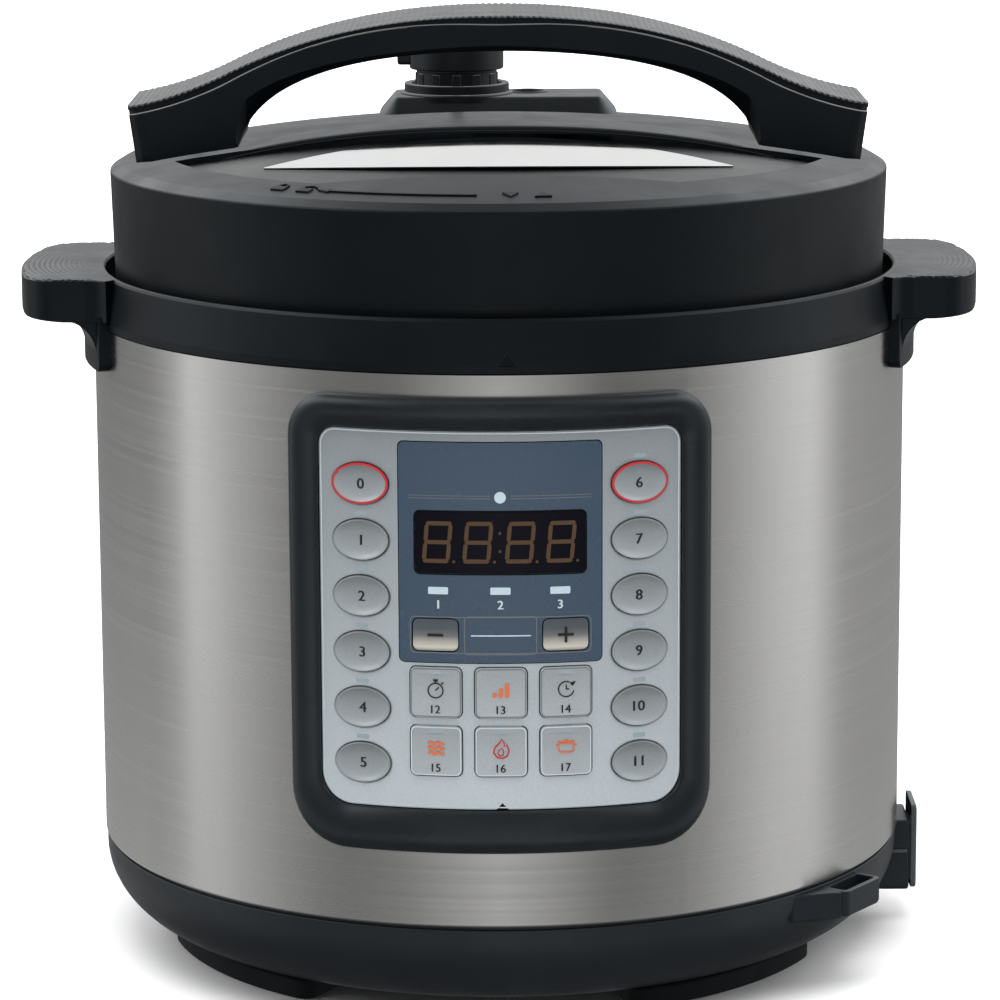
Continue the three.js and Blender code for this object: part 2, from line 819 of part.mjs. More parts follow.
function body() {
  const group = new THREE.Group();
  group.add(
    piece('outer_shell', 'brushed_steel', outerShell()),
    piece('upper_collar', 'black_plastic', upperCollar()),
    piece('pressure_vessel', 'aluminium', pressureVessel()),
    piece('heating_plate', 'aluminium', heatingPlate()),
    piece('sensor_plunger', 'aluminium', sensorPlunger()),
    piece('sensor_spring', 'polished_steel', sensorSpring()),
    piece('inner_pot', 'polished_steel', innerPot()),
    piece('cup_pocket', 'black_plastic', cupPocket()),
    piece('condensation_cup', 'dark_plastic', condensationCup()),
  );
  return group;
}

function controls() {
  const group = new THREE.Group();
  const holes = keyHoles();
  group.add(
    piece('control_bezel', 'black_plastic', controlBezel()),
    piece('control_fascia', 'silver_fascia', controlFascia(holes)),
    piece('display_window', 'blue_window', displayWindow(holes)),
    piece('led_display', 'display', block([-29, 29], [-137.5, -125.2], [157, 181])),
    piece('control_board', 'circuit_board', controlBoard()),
    ...keys.map(keyMesh),
  );
  return group;
}

function placed(mesh, x, y) {
  mesh.position.set(x, y, 0);
  return mesh;
}

function lid() {
  const group = new THREE.Group();
  group.add(
    piece('lid_cover', 'black_plastic', lidCover()),
    piece('lid_accent', 'polished_steel', lidAccent()),
    piece('pressure_lid', 'brushed_steel', pressureLid()),
    piece('lid_handle', 'black_plastic', lidHandle()),
    piece('valve_block', 'dark_plastic', valveBlock()),
    piece('sealing_ring', 'silicone', sealingRing()),
    piece('ring_rack', 'polished_steel', ringRack()),
    piece('anti_block_shield', 'polished_steel', antiBlockShield()),
    placed(piece('handle_screw_left', 'polished_steel', handleScrew()), -SCREW_X, 0),
    placed(piece('handle_screw_right', 'polished_steel', handleScrew()), SCREW_X, 0),
    placed(piece('exhaust_pipe', 'polished_steel', exhaustPipe()), VALVE_X, VALVE_Y),
    placed(piece('steam_knob', 'dark_plastic', steamKnob()), VALVE_X, VALVE_Y),
    placed(piece('float_pin', 'polished_steel', floatPin()), FLOAT_X, FLOAT_Y),
    placed(piece('float_seal', 'silicone', floatSeal()), FLOAT_X, FLOAT_Y),
  );
  return group;
}

const pressureCooker = new THREE.Group();
pressureCooker.add(base(), body(), controls(), lid());

export default pressureCooker;
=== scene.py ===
"""Looks of the electric pressure cooker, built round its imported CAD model."""

import json
import math

import bmesh
import bpy
from mathutils import Matrix, Vector

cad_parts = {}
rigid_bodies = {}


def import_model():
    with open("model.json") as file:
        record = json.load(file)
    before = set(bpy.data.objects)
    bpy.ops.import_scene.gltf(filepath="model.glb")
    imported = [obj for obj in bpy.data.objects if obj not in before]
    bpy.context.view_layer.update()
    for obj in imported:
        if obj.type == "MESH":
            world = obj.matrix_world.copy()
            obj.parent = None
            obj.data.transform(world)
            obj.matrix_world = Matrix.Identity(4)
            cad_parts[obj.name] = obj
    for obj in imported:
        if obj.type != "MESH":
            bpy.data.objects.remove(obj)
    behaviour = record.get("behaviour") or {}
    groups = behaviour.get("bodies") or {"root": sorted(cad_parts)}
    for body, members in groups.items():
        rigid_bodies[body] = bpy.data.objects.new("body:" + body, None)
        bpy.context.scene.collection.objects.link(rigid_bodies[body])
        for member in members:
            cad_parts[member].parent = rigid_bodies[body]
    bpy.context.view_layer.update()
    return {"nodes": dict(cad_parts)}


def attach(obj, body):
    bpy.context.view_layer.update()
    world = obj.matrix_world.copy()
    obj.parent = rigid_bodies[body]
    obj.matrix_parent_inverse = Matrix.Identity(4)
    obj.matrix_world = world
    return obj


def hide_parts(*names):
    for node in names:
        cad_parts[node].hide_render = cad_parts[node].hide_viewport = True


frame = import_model()

MM = 0.001
TAU = 2 * math.pi
LINKED = bpy.context.scene.collection.objects


# ---- Materials ----


class Nodes:
    """A short way to write a node tree."""

    def __init__(self, tree):
        self.tree = tree

    def add(self, kind, settings=None, **inputs):
        node = self.tree.nodes.new(kind)
        for key, value in (settings or {}).items():
            setattr(node, key, value)
        for key, value in inputs.items():
            self.set(node, key.replace("_", " "), value)
        return node

    def set(self, node, key, value):
        socket = node.inputs[int(key)] if key.isdigit() else node.inputs[key]
        if isinstance(value, bpy.types.NodeSocket):
            self.tree.links.new(value, socket)
        else:
            socket.default_value = value

    def position(self, scale):
        scale = scale if isinstance(scale, tuple) else (scale,) * 3
        coordinates = self.add("ShaderNodeTexCoord")
        return self.add("ShaderNodeMapping", Vector=coordinates.outputs["Object"],
                        Scale=scale).outputs["Vector"]

    def noise(self, scale, detail=3.0, roughness=0.5):
        """Noise with this many cells to the metre, which may differ along X, Y and Z."""
        where = self.position(scale)
        node = self.add("ShaderNodeTexNoise", Vector=where, Scale=1.0, Detail=detail, Roughness=roughness)
        return node.outputs["Fac"]

    def ramp(self, factor, stops):
        node = self.add("ShaderNodeValToRGB", Fac=factor)
        elements = node.color_ramp.elements
        while len(elements) < len(stops):
            elements.new(0.5)
        for element, (place, color) in zip(elements, stops):
            element.position = place
            element.color = (*color, 1)
        return node.outputs["Color"]

    def grey(self, factor, low, high, start=0.3, end=0.7):
        return self.ramp(factor, [(start, (low,) * 3), (end, (high,) * 3)])

    def share(self, value, low, high, kind="LINEAR"):
        """How far a value is from low to high, from 0 to 1."""
        settings = {"interpolation_type": kind}
        return self.add("ShaderNodeMapRange", settings, Value=value, From_Min=low, From_Max=high).outputs[0]

    def axis(self, vector, name):
        return self.add("ShaderNodeSeparateXYZ", Vector=vector).outputs[name]

    def mix(self, factor, first, second, blend="MIX"):
        node = self.add("ShaderNodeMix", {"data_type": "RGBA", "blend_type": blend}, Factor=factor)
        self.set(node, "A", first)
        self.set(node, "B", second)
        return node.outputs["Result"]

    def bump(self, height, strength, distance):
        return self.add("ShaderNodeBump", Height=height, Strength=strength,
                        Distance=distance).outputs["Normal"]


class Material(Nodes):
    """The nodes of a new material, round its Principled shader."""

    def __init__(self, name):
        self.material = bpy.data.materials.new(name)
        self.material.use_nodes = True
        super().__init__(self.material.node_tree)

    def shade(self, **inputs):
        for key, value in inputs.items():
            self.set(self.tree.nodes["Principled BSDF"], key.replace("_", " "), value)
        return self.material


def tinted(color, *factors):
    """The colour made darker or lighter by each factor."""
    return [tuple(min(1.0, c * f) for c in color) for f in factors]


def moulded(name, color, roughness, grain, gloss):
    """Injection-moulded plastic: a fine spark-eroded grain, with slightly uneven colour and gloss."""
    n = Material(name)
    dark, light = tinted(color, 0.82, 1.18)
    return n.shade(
        Base_Color=n.ramp(n.noise(22, 4), [(0.3, dark), (0.7, light)]),
        Roughness=n.grey(n.noise(60, 5), roughness - 0.05, roughness + 0.06),
        Normal=n.bump(n.noise(2600, 2), grain, 0.00006),
        Specular_IOR_Level=gloss,
        Specular_Tint=(0.84, 0.95, 1.0, 1),
    )


def ribbed(name):
    """The grip on the ears and the handle: a matte, slightly lighter skin on moulded ribs."""
    n = Material(name)
    return n.shade(
        Base_Color=n.ramp(n.noise(40, 4), [(0.3, (0.034, 0.036, 0.037)), (0.7, (0.052, 0.054, 0.055))]),
        Roughness=n.grey(n.noise(90, 4), 0.50, 0.60),
        Normal=n.bump(n.noise(2200, 3), 0.3, 0.00008),
    )


def brushed(name, color, roughness, anisotropy, direction=(9, 9, 3200)):
    """Steel brushed round the body, with long fine scratches and a slight waviness."""
    n = Material(name)
    streaks = n.noise(direction, 3, 0.65)
    coarse = n.noise(tuple(d / 6 for d in direction), 2)
    dark, light = tinted(color, 0.93, 1.07)
    tone = n.mix(n.noise((18, 18, 9), 3), (*dark, 1), (*light, 1))
    tangent = n.add("ShaderNodeTangent", {"direction_type": "RADIAL", "axis": "Z"})
    return n.shade(
        Base_Color=n.mix(0.06, tone, n.grey(streaks, 0.72, 1.0, 0.25, 0.75), "MULTIPLY"),
        Metallic=1.0,
        Roughness=n.grey(coarse, roughness - 0.03, roughness + 0.04),
        Anisotropic=anisotropy,
        Anisotropic_Rotation=0.25,
        Tangent=tangent.outputs["Tangent"],
        Normal=n.bump(streaks, 0.03, 0.00002),
    )


def polished(name, color, roughness):
    """Plain metal, almost even in colour."""
    n = Material(name)
    return n.shade(
        Base_Color=n.ramp(n.noise(30, 3), list(zip((0.3, 0.7), tinted(color, 0.95, 1.0)))),
        Metallic=1.0,
        Roughness=n.grey(n.noise(140, 5), roughness, roughness + 0.05),
        Normal=n.bump(n.noise(350, 4), 0.02, 0.0001),
    )


SHADE_HEIGHTS = (0.075, 0.210)  # metres, between which the panel's painted shade runs from lighter below to darker above


def film(name, color, roughness, metallic=0.0, sparkle=0.1, coat=0.3, painted_shade=0.0, gloss=0.5, own=False):
    """Printed film: a fine metallic grain under a smooth coat.

    It may carry painted shade, lighter downwards and darker upwards, over the whole panel or, if own, over
    each object.
    """
    n = Material(name)
    grain = n.noise(4200, 2)
    tint = n.ramp(grain, list(zip((0.35, 0.65), tinted(color, 1 - sparkle, 1 + sparkle))))
    # Painted shade: the colour is made lighter towards the bottom and darker towards the top.
    if painted_shade:
        place = n.add("ShaderNodeTexCoord").outputs["Generated" if own else "Object"]
        share = n.share(n.axis(place, "Z"), *((0.0, 1.0) if own else SHADE_HEIGHTS))
        tint = n.mix(1.0, tint, n.grey(share, 1.0 + painted_shade, 1.0 - painted_shade, 0.0, 1.0), "MULTIPLY")
    return n.shade(
        Base_Color=tint,
        Metallic=metallic,
        Roughness=n.grey(n.noise(70, 4), roughness - 0.03, roughness + 0.05),
        Normal=n.bump(grain, 0.05, 0.00003),
        Coat_Weight=coat,
        Coat_Roughness=0.25,
        Specular_IOR_Level=gloss,
    )


def lit_key(name):
    """A mirrored key cap with a painted reflection: painted shade at its top and a painted warm highlight
    near its foot.
    """
    n = Material(name)
    height = n.axis(n.add("ShaderNodeTexCoord").outputs["Object"], "Z")
    return n.shade(
        # Painted reflection: colours by height, from a painted highlight low down to painted shade at the
        # top.
        Base_Color=n.ramp(n.share(height, 0.1330, 0.1436), [
            (0.0, (0.20, 0.195, 0.18)), (0.12, (0.50, 0.475, 0.41)), (0.30, (0.34, 0.325, 0.29)),
            (0.48, (0.135, 0.14, 0.14)), (0.70, (0.07, 0.082, 0.094)), (1.0, (0.055, 0.066, 0.08)),
        ]),
        Metallic=0.15,
        Roughness=n.grey(n.noise(70, 4), 0.30, 0.38),
        Normal=n.bump(n.noise(4200, 2), 0.04, 0.00003),
    )


def board(name):
    """Circuit board: solder mask with darker tracks."""
    n = Material(name)
    cells = n.add("ShaderNodeTexVoronoi", {"distance": "MANHATTAN"}, Vector=n.position(160), Scale=1.0)
    return n.shade(
        Base_Color=n.ramp(cells.outputs["Distance"], [(0.1, (0.012, 0.09, 0.04)), (0.5, (0.02, 0.16, 0.07))]),
        Roughness=n.grey(n.noise(90), 0.3, 0.45),
        Normal=n.bump(cells.outputs["Distance"], 0.2, 0.0002),
    )


MOULDED = {  # colour, roughness, grain and gloss
    "black_plastic": ((0.0020, 0.0032, 0.0046), 0.38, 0.25, 0.25),
    "lid_plastic": ((0.0020, 0.0030, 0.0042), 0.42, 0.3, 0.25),
    "base_plastic": ((0.0085, 0.0105, 0.0135), 0.42, 0.25, 0.38),
    "inlet_plastic": ((0.048, 0.052, 0.056), 0.45, 0.3, 0.5),
    "dark_plastic": ((0.0085, 0.010, 0.012), 0.40, 0.25, 0.4),
    "gloss_black": ((0.0015, 0.0018, 0.0022), 0.28, 0.05, 0.25),
    "rubber": ((0.0045, 0.0045, 0.0050), 0.72, 0.5, 0.2),
    "bezel_plastic": ((0.0085, 0.0098, 0.0118), 0.30, 0.12, 0.5),
    "mark": ((0.002, 0.002, 0.0025), 0.5, 0.1, 0.2),
    "silicone": ((0.62, 0.60, 0.55), 0.55, 0.2, 0.5),
}
BRUSHED = {  # colour, roughness, anisotropy and direction
    "brushed_steel": ((0.60, 0.597, 0.58), 0.25, 0.8),
    "lid_steel": ((0.55, 0.545, 0.53), 0.30, 0.5, (500, 9, 500)),
    "pot_steel": ((0.66, 0.655, 0.64), 0.22, 0.6, (9, 9, 1500)),
}
POLISHED = {"polished_steel": ((0.86, 0.86, 0.845), 0.05), "aluminium": ((0.60, 0.60, 0.60), 0.36)}
FILMS = {
    # The fascia, the oval keys and the mode pads carry painted shade, lighter towards the bottom.
    "silver_fascia": dict(color=(0.355, 0.393, 0.417), roughness=0.36, metallic=0.25, painted_shade=0.36),
    "silver_key": dict(color=(0.255, 0.28, 0.293), roughness=0.32, metallic=0.25, painted_shade=0.34, own=True),
    "silver_pad": dict(color=(0.33, 0.36, 0.375), roughness=0.32, metallic=0.25, painted_shade=0.14, own=True),
    "blue_window": dict(color=(0.036, 0.060, 0.092), roughness=0.26, sparkle=0.05, coat=0.1, gloss=0.35),
    "display": dict(color=(0.0025, 0.0025, 0.0055), roughness=0.20, sparkle=0.05, coat=0.0, gloss=0.12),
    "segment": dict(color=(0.072, 0.040, 0.019), roughness=0.5, sparkle=0.05, coat=0.0, gloss=0.2),
    "lamp": dict(color=(0.24, 0.30, 0.34), roughness=0.4, sparkle=0.05, coat=0.1),
    "lamp_pale": dict(color=(0.42, 0.52, 0.58), roughness=0.4, sparkle=0.05, coat=0.1),
}
INKS = {
    "ink_black": (0.010, 0.011, 0.014), "ink_pale": (0.46, 0.53, 0.57), "ink_red": (0.42, 0.012, 0.02),
    "ink_orange": (0.62, 0.115, 0.02), "ink_line": (0.12, 0.13, 0.14),
}
PAINT = {"grip": ribbed("grip"), "step_key": lit_key("step_key"), "circuit_board": board("circuit_board")}
PAINT |= {name: moulded(name, *values) for name, values in MOULDED.items()}
PAINT |= {name: brushed(name, *values) for name, values in BRUSHED.items()}
PAINT |= {name: polished(name, *values) for name, values in POLISHED.items()}
PAINT |= {name: film(name, **values) for name, values in FILMS.items()}
PAINT |= {name: film(name, color, 0.5, sparkle=0.05, coat=0.0) for name, color in INKS.items()}


# ---- Mesh tools, in millimetres ----


def piece(name, vertices, faces, body, paint, replaces=(), sharp=35, weighted=True):
    """Makes one closed or open mesh that rides on a body, smooth but for its sharp edges."""
    mesh = bpy.data.meshes.new(name)
    mesh.from_pydata([(x * MM, y * MM, z * MM) for x, y, z in vertices], [], faces)
    cleaned = bmesh.new()
    cleaned.from_mesh(mesh)
    bmesh.ops.remove_doubles(cleaned, verts=cleaned.verts, dist=2e-6)
    bmesh.ops.recalc_face_normals(cleaned, faces=cleaned.faces)
    cleaned.to_mesh(mesh)
    cleaned.free()
    mesh.polygons.foreach_set("use_smooth", [True] * len(mesh.polygons))
    mesh.set_sharp_from_angle(angle=math.radians(sharp))
    mesh.materials.append(PAINT[paint])
    made = bpy.data.objects.new(name, mesh)
    LINKED.link(made)
    if weighted:
        weigh = made.modifiers.new("even_normals", "WEIGHTED_NORMAL")
        weigh.keep_sharp = True
    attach(made, body)
    if replaces:
        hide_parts(*replaces)
    return made


def filleted(points, closed=False, steps=4):
    """A polyline whose corners are rounded: each point is (a, b) or (a, b, radius)."""
    flat = []
    count = len(points)
    for i, point in enumerate(points):
        here = Vector(point[:2])
        radius = point[2] if len(point) > 2 else 0
        if radius == 0 or (not closed and i in (0, count - 1)):
            flat.append(tuple(here))
            continue
        before = Vector(points[i - 1][:2]) - here
        after = Vector(points[(i + 1) % count][:2]) - here
        angle = before.angle(after)
        reach = min(radius / math.tan(angle / 2), before.length * 0.49, after.length * 0.49)
        a = here + before.normalized() * reach
        b = here + after.normalized() * reach
        for k in range(steps + 1):
            t = k / steps
            flat.append(tuple(a * (1 - t) ** 2 + here * 2 * t * (1 - t) + b * t ** 2))
    return flat


def turned(profile, segments=144, closed=True, keep=None, centre=(0, 0), angles=None):
    """Vertices and faces of a profile of (radius, height[, fillet]) turned round a vertical axis."""
    line = filleted(profile, closed)
    turns = angles or [TAU * i / segments for i in range(segments)]
    vertices = [
        (centre[0] + r * math.cos(a), centre[1] + r * math.sin(a), z) for a in turns for r, z in line
    ]
    faces = []
    size = len(line)
    for i in range(len(turns)):
        j = (i + 1) % len(turns)
        middle = (turns[i] + (turns[j] if j else TAU)) / 2
        for k in range(size if closed else size - 1):
            m = (k + 1) % size
            if keep and not keep(middle, (line[k][1] + line[m][1]) / 2):
                continue
            faces.append((i * size + k, j * size + k, j * size + m, i * size + m))
    return vertices, faces


def lofted(loops, caps=(True, True), around=True):
    """Vertices and faces joining loops of equal length, one after another."""
    size = len(loops[0])
    vertices = [tuple(p) for loop in loops for p in loop]
    faces = []
    for i in range(len(loops) - 1):
        for k in range(size if around else size - 1):
            m = (k + 1) % size
            faces.append((i * size + k, i * size + m, (i + 1) * size + m, (i + 1) * size + k))
    if caps[0]:
        faces.append(tuple(reversed(range(size))))
    if caps[1]:
        faces.append(tuple(range((len(loops) - 1) * size, len(loops) * size)))
    return vertices, faces


def together(*parts):
    """Several (vertices, faces) pairs as one."""
    vertices, faces = [], []
    for more, joins in parts:
        start = len(vertices)
        vertices += more
        faces += [tuple(start + i for i in face) for face in joins]
    return vertices, faces


def moved(part, matrix):
    """A part put through a matrix."""
    vertices, faces = part
    return [tuple(matrix @ Vector(v)) for v in vertices], faces


def shifted(part, x=0.0, y=0.0, z=0.0):
    return moved(part, Matrix.Translation((x, y, z)))


def circle(cx, cz, radius, count=24, start=0.0, span=TAU):
    """Points round a circle, or along an arc of it."""
    return [(cx + radius * math.cos(start + span * k / count),
             cz + radius * math.sin(start + span * k / count))
            for k in range(count + (span < TAU))]


def box_outline(half_width, half_height, radius, step=3.0, corner=6):
    """Points round a rectangle with rounded corners, with its straight sides divided."""
    radius = max(radius, 0.01)
    across = max(2, round((half_width - radius) * 2 / step))
    up = max(2, round((half_height - radius) * 2 / step))
    return box_points(half_width, half_height, radius, across, up, corner)


def box_points(half_width, half_height, radius, across, up, corner=6):
    """The same rectangle, with the number of divisions of its straight sides given."""
    points = []
    corners = [(1, -1, -90), (1, 1, 0), (-1, 1, 90), (-1, -1, 180)]
    for index, (sx, sy, start) in enumerate(corners):
        cx = sx * (half_width - radius)
        cy = sy * (half_height - radius)
        for k in range(corner + 1):
            a = math.radians(start + 90 * k / corner)
            points.append((cx + radius * math.cos(a), cy + radius * math.sin(a)))
        nx, ny, _ = corners[(index + 1) % 4]
        a = math.radians(start + 90)
        tail = (nx * (half_width - radius) + radius * math.cos(a),
                ny * (half_height - radius) + radius * math.sin(a))
        divisions = up if index in (0, 2) else across
        head = points[-1]
        for k in range(1, divisions):
            t = k / divisions
            points.append((head[0] + (tail[0] - head[0]) * t, head[1] + (tail[1] - head[1]) * t))
    return points


def shrunk(outline, distance):
    """A closed outline with every point moved inwards by the distance."""
    count = len(outline)
    area = sum(outline[i - 1][0] * outline[i][1] - outline[i][0] * outline[i - 1][1] for i in range(count))
    side = 1 if area > 0 else -1
    result = []
    for i in range(count):
        ax, ay = outline[i - 1]
        bx, by = outline[(i + 1) % count]
        length = math.hypot(bx - ax, by - ay) or 1
        result.append((outline[i][0] - side * (by - ay) / length * distance,
                       outline[i][1] + side * (bx - ax) / length * distance))
    return result


def slab(outline, bottom, top, edge=0.5, steps=3):
    """An upright plate with rounded edges, as loops of an outline in X and Y."""
    loops = []
    for k in range(steps + 1):
        a = math.pi / 2 * k / steps
        inset = edge * (1 - math.sin(a))
        loops.append([(x, y, bottom + edge * (1 - math.cos(a))) for x, y in shrunk(outline, inset)])
    for k in range(steps + 1):
        a = math.pi / 2 * k / steps
        inset = edge * (1 - math.cos(a))
        loops.append([(x, y, top - edge * (1 - math.sin(a))) for x, y in shrunk(outline, inset)])
    return lofted(loops)


ARC = 145.0  # radius at which distances across the control panel are measured


def on_panel(u, z, radius):
    """The point at arc distance u and height z, at a radius from the body's axis."""
    angle = u / ARC
    return (radius * math.sin(angle), -radius * math.cos(angle), z)


def bent(part):
    """A part drawn flat, as (arc distance, height, radius), wrapped round the body's front."""
    vertices, faces = part
    return [on_panel(*v) for v in vertices], faces


def rings(outline, levels, centre=(0, 0), caps=(True, True)):
    """Loops of one outline at (inset, radius) levels, drawn flat."""
    loops = []
    for inset, radius in levels:
        loops.append([(centre[0] + x, centre[1] + z, radius) for x, z in shrunk(outline, inset)])
    return lofted(loops, caps)


def from_object(made):
    """Vertices (in millimetres) and faces of an object with its modifiers applied; the object is removed."""
    graph = bpy.context.evaluated_depsgraph_get()
    mesh = bpy.data.meshes.new_from_object(made.evaluated_get(graph))
    part = ([tuple(v.co / MM) for v in mesh.vertices], [tuple(f.vertices) for f in mesh.polygons])
    bpy.data.objects.remove(made)
    bpy.data.meshes.remove(mesh)
    return part


def plain_object(part, name="working"):
    """An object for working with a part, with its faces turned outwards."""
    mesh = bpy.data.meshes.new(name)
    mesh.from_pydata([(x * MM, y * MM, z * MM) for x, y, z in part[0]], [], part[1])
    cleaned = bmesh.new()
    cleaned.from_mesh(mesh)
    bmesh.ops.recalc_face_normals(cleaned, faces=cleaned.faces)
    cleaned.to_mesh(mesh)
    cleaned.free()
    made = bpy.data.objects.new(name, mesh)
    LINKED.link(made)
    return made


def carved(part, cutters):
    """A closed part with other closed parts taken out of it."""
    body = plain_object(part)
    tools = [plain_object(cutter, "cutter") for cutter in cutters]
    for tool in tools:
        cut = body.modifiers.new("cut", "BOOLEAN")
        cut.operation = "DIFFERENCE"
        cut.solver = "EXACT"
        cut.object = tool
    bpy.context.view_layer.update()
    result = from_object(body)
    for tool in tools:
        bpy.data.objects.remove(tool)
    return result


# ---- Base ----


def bowl_curve(offset, count):
    """The base's rounded lower edge, from its side in to its underside."""
    points = []
    for i in range(count + 1):
        a = math.pi / 2 * i / count
        points.append((110 + (32.5 - offset) * math.cos(a), 34 - (27.5 - offset) * math.sin(a)))
    return points


def hollow_post(outer, inner, near, far, edge=1.0):
    """A rectangular tube along X, between two (half width, low, high, corner radius) outlines."""
    def loop(size, x, grow=0.0):
        half, low, high, corner = size
        middle, tall = (low + high) / 2, (high - low) / 2
        points = box_points(half + grow, tall + grow, max(corner + grow, 0.05), 2, 2, 5)
        return [(x, a, middle + b) for a, b in points]

    loops = [loop(outer, near), loop(outer, far - edge)]
    loops += [loop(outer, far - edge + edge * math.sin(t), -edge * (1 - math.cos(t)))
              for t in (math.pi / 6, math.pi / 3, math.pi / 2)]
    loops += [loop(inner, far, 0.6), loop(inner, far - 0.6), loop(inner, near)]
    return lofted(loops, caps=(False, False))


def make_base():
    """The bowl-shaped base, open where the inlet passes through it."""
    turns = sorted([TAU * i / 144 for i in range(144)] + [0.077, TAU - 0.077])
    profile = [(142.5, 37.8, 0.7)] + bowl_curve(0, 22) + [(96.6, 6.5), (96, 7.1), (96, 9.1)]
    profile += list(reversed(bowl_curve(2.6, 12))) + [(139.6, 43.8), (141.6, 43.8), (141.6, 37.8)]

    def keep(angle, height):
        at_inlet = min(angle, TAU - angle) < 0.0765
        return not (at_inlet and 14 < height < 36)

    bowl = turned(profile, angles=turns, keep=keep)
    boss = hollow_post((12, 12, 38, 1.6), (9.8, 14.7, 35.7, 0.8), 128, 147.3)
    piece("base_housing_shaped", *together(bowl, boss), "body", "base_plastic", ["base_housing"], sharp=32)
    ledges = [shifted(slab(box_points(7, 0.6, 0.4, 3, 2), 26.2, 27.4, 0.2), x=139.4, y=side * 12.2)
              for side in (-1, 1)]
    piece("inlet_ledges", *together(*ledges), "body", "inlet_plastic")


def ring_sector(inner, outer, middle, span, corner):
    """A sector of a ring seen from above, with rounded corners."""
    centre = (inner + outer) / 2
    half = math.radians(span / 2) * centre
    turn = math.radians(middle)
    points = box_points(half, (outer - inner) / 2, corner, max(6, round(half / 2)), 4, 5)
    return [((centre + v) * math.cos(turn + u / centre), (centre + v) * math.sin(turn + u / centre))
            for u, v in points]


def make_feet():
    """Four rubber feet."""
    for name, angle in (("front_left", 215), ("front_right", 313.5), ("back_right", 35),
                        ("back_left", 133.5)):
        pad = slab(ring_sector(96, 120.5, angle, 43.5, 5), 0, 7.4, 1.4, 4)
        piece(f"foot_{name}_shaped", *pad, "body", "rubber", [f"foot_{name}"], sharp=50)


def make_accessory_pocket():
    """The open-topped pocket low on the right, with the flank that joins it to the base."""
    turn = Matrix.Rotation(math.radians(-35.8), 4, "Z")

    def loop(near, far, half, z, corner):
        points = box_points(half, (far - near) / 2, corner, 3, 3, 4)
        return [((near + far) / 2 + b, a, z) for a, b in points]

    loops = [
        loop(138, 151.6, 10.2, 28, 1.5), loop(138, 152.7, 11.2, 28.5, 2.2), loop(138, 153.2, 11.7, 29.6, 2.5),
        loop(138, 153.2, 11.7, 36.8, 2.5), loop(138.2, 153.0, 11.5, 37.25, 2.4),
        loop(138.5, 152.6, 11.1, 37.4, 2.2),
        loop(144.4, 151.5, 9.8, 37.4, 1.3), loop(144.6, 151.2, 9.5, 37.0, 1.1),
        loop(144.6, 151.2, 9.5, 29.6, 1.1),
    ]
    plan = [(137, -27), (141.0, -26.4), (146.6, -19.5), (151.6, -11.4), (149, -9), (137, -9)]
    flank = filleted([(x, y, 1.5) for x, y in plan], True)
    side = lofted([[(x - lean * (y < -15), y + lean * 1.4 * (y < -15), z) for x, y in shrunk(flank, inset)]
                   for inset, lean,
                   z in ((1.6, 0, 27.6), (0.4, 0, 28.0), (0, 0, 28.8), (0, 1.0, 36.4), (0.3, 1.0, 37.0),
                                          (1.0, 1.0, 37.3))])
    piece("accessory_pocket_shaped", *moved(together(lofted(loops), side), turn), "body", "base_plastic",
          ["accessory_pocket"])


def make_inlet():
    """The mains inlet: its tube, flange and three pins."""
    tube = hollow_post((9.5, 15, 35.4, 0.8), (7.5, 17, 33.4, 0.8), 127, 149)
    flange = hollow_post((11.6, 12.5, 43.4, 2.4), (8.4, 16, 34.4, 0.8), 148.0, 149.9, 0.6)
    back = lofted([[(131.8, a, 25.2 + b) for a, b in box_points(8, 8.7, 0.8, 2, 2)],
                   [(132.4, a, 25.2 + b) for a, b in box_points(8, 8.7, 0.8, 2, 2)]])
    piece("inlet_socket_shaped", *together(tube, flange, back), "body", "inlet_plastic", ["inlet_socket"])
    pins = []
    for y, z in ((-3.5, 25.2), (2.5, 20.2), (2.5, 30.2)):
        pins.append(lofted([[(x, y + a, z + b) for a, b in box_points(1 - inset, 2 - inset, 0.3, 1, 2, 3)]
                            for x, inset in ((131, 0), (141.4, 0), (142, 0.4))]))
    piece("inlet_pins", *together(*pins), "body", "polished_steel")


def make_bottom():
    """The round plate under the base, with slots, ribs and a screw hole."""
    plate = slab(circle(0, 0, 95.5, 120), 6.9, 8.5, 0.4)
    slots = [slab(ring_sector(60, 66, angle, 30, 2.5), 4, 12, 0.1, 1) for angle in range(0, 360, 60)]
    hole = slab(circle(0, 0, 3, 32), 4, 12, 0.1, 1)
    ribs = [turned([(r - 1, 6.6), (r + 1, 6.6, 0.3), (r + 1, 7.2), (r - 1, 7.2)], 120)
            for r in (40, 50, 76, 86)]
    piece("bottom_plate_shaped", *together(carved(plate, slots + [hole]), *ribs), "body", "dark_plastic",
          ["bottom_plate"])


# ---- Body ----


def make_shell():
    """The steel wall, open behind the panel and at the cup."""
    front, rear = math.asin(61.5 / 143), math.asin(26.6 / 143)
    turns = [TAU * i / 216 for i in range(216)]
    turns += [1.5 * math.pi - front, 1.5 * math.pi + front, 0.5 * math.pi - rear, 0.5 * math.pi + rear]
    heights = (77.5, 208, 147.4, 214.6)
    outside = sorted([40, 60, 100, 125, 160, 180, 195, *heights, 221])
    profile = [(142.4, 39), (142.75, 39.1), (143, 39.5)] + [(143, z) for z in outside] + [(143, 223.7),
                                                                                          (142.2, 223.7)]
    profile += [(142.2, z) for z in reversed(outside)] + [(142.2, 39.2)]

    def keep(angle, height):
        at_front = abs(angle - 1.5 * math.pi) < front
        at_rear = abs(angle - 0.5 * math.pi) < rear
        return not ((at_front and 77.5 < height < 208) or (at_rear and 147.4 < height < 214.6))

    piece("outer_shell_shaped", *turned(profile, angles=sorted(turns), keep=keep), "body", "brushed_steel",
          ["outer_shell"])


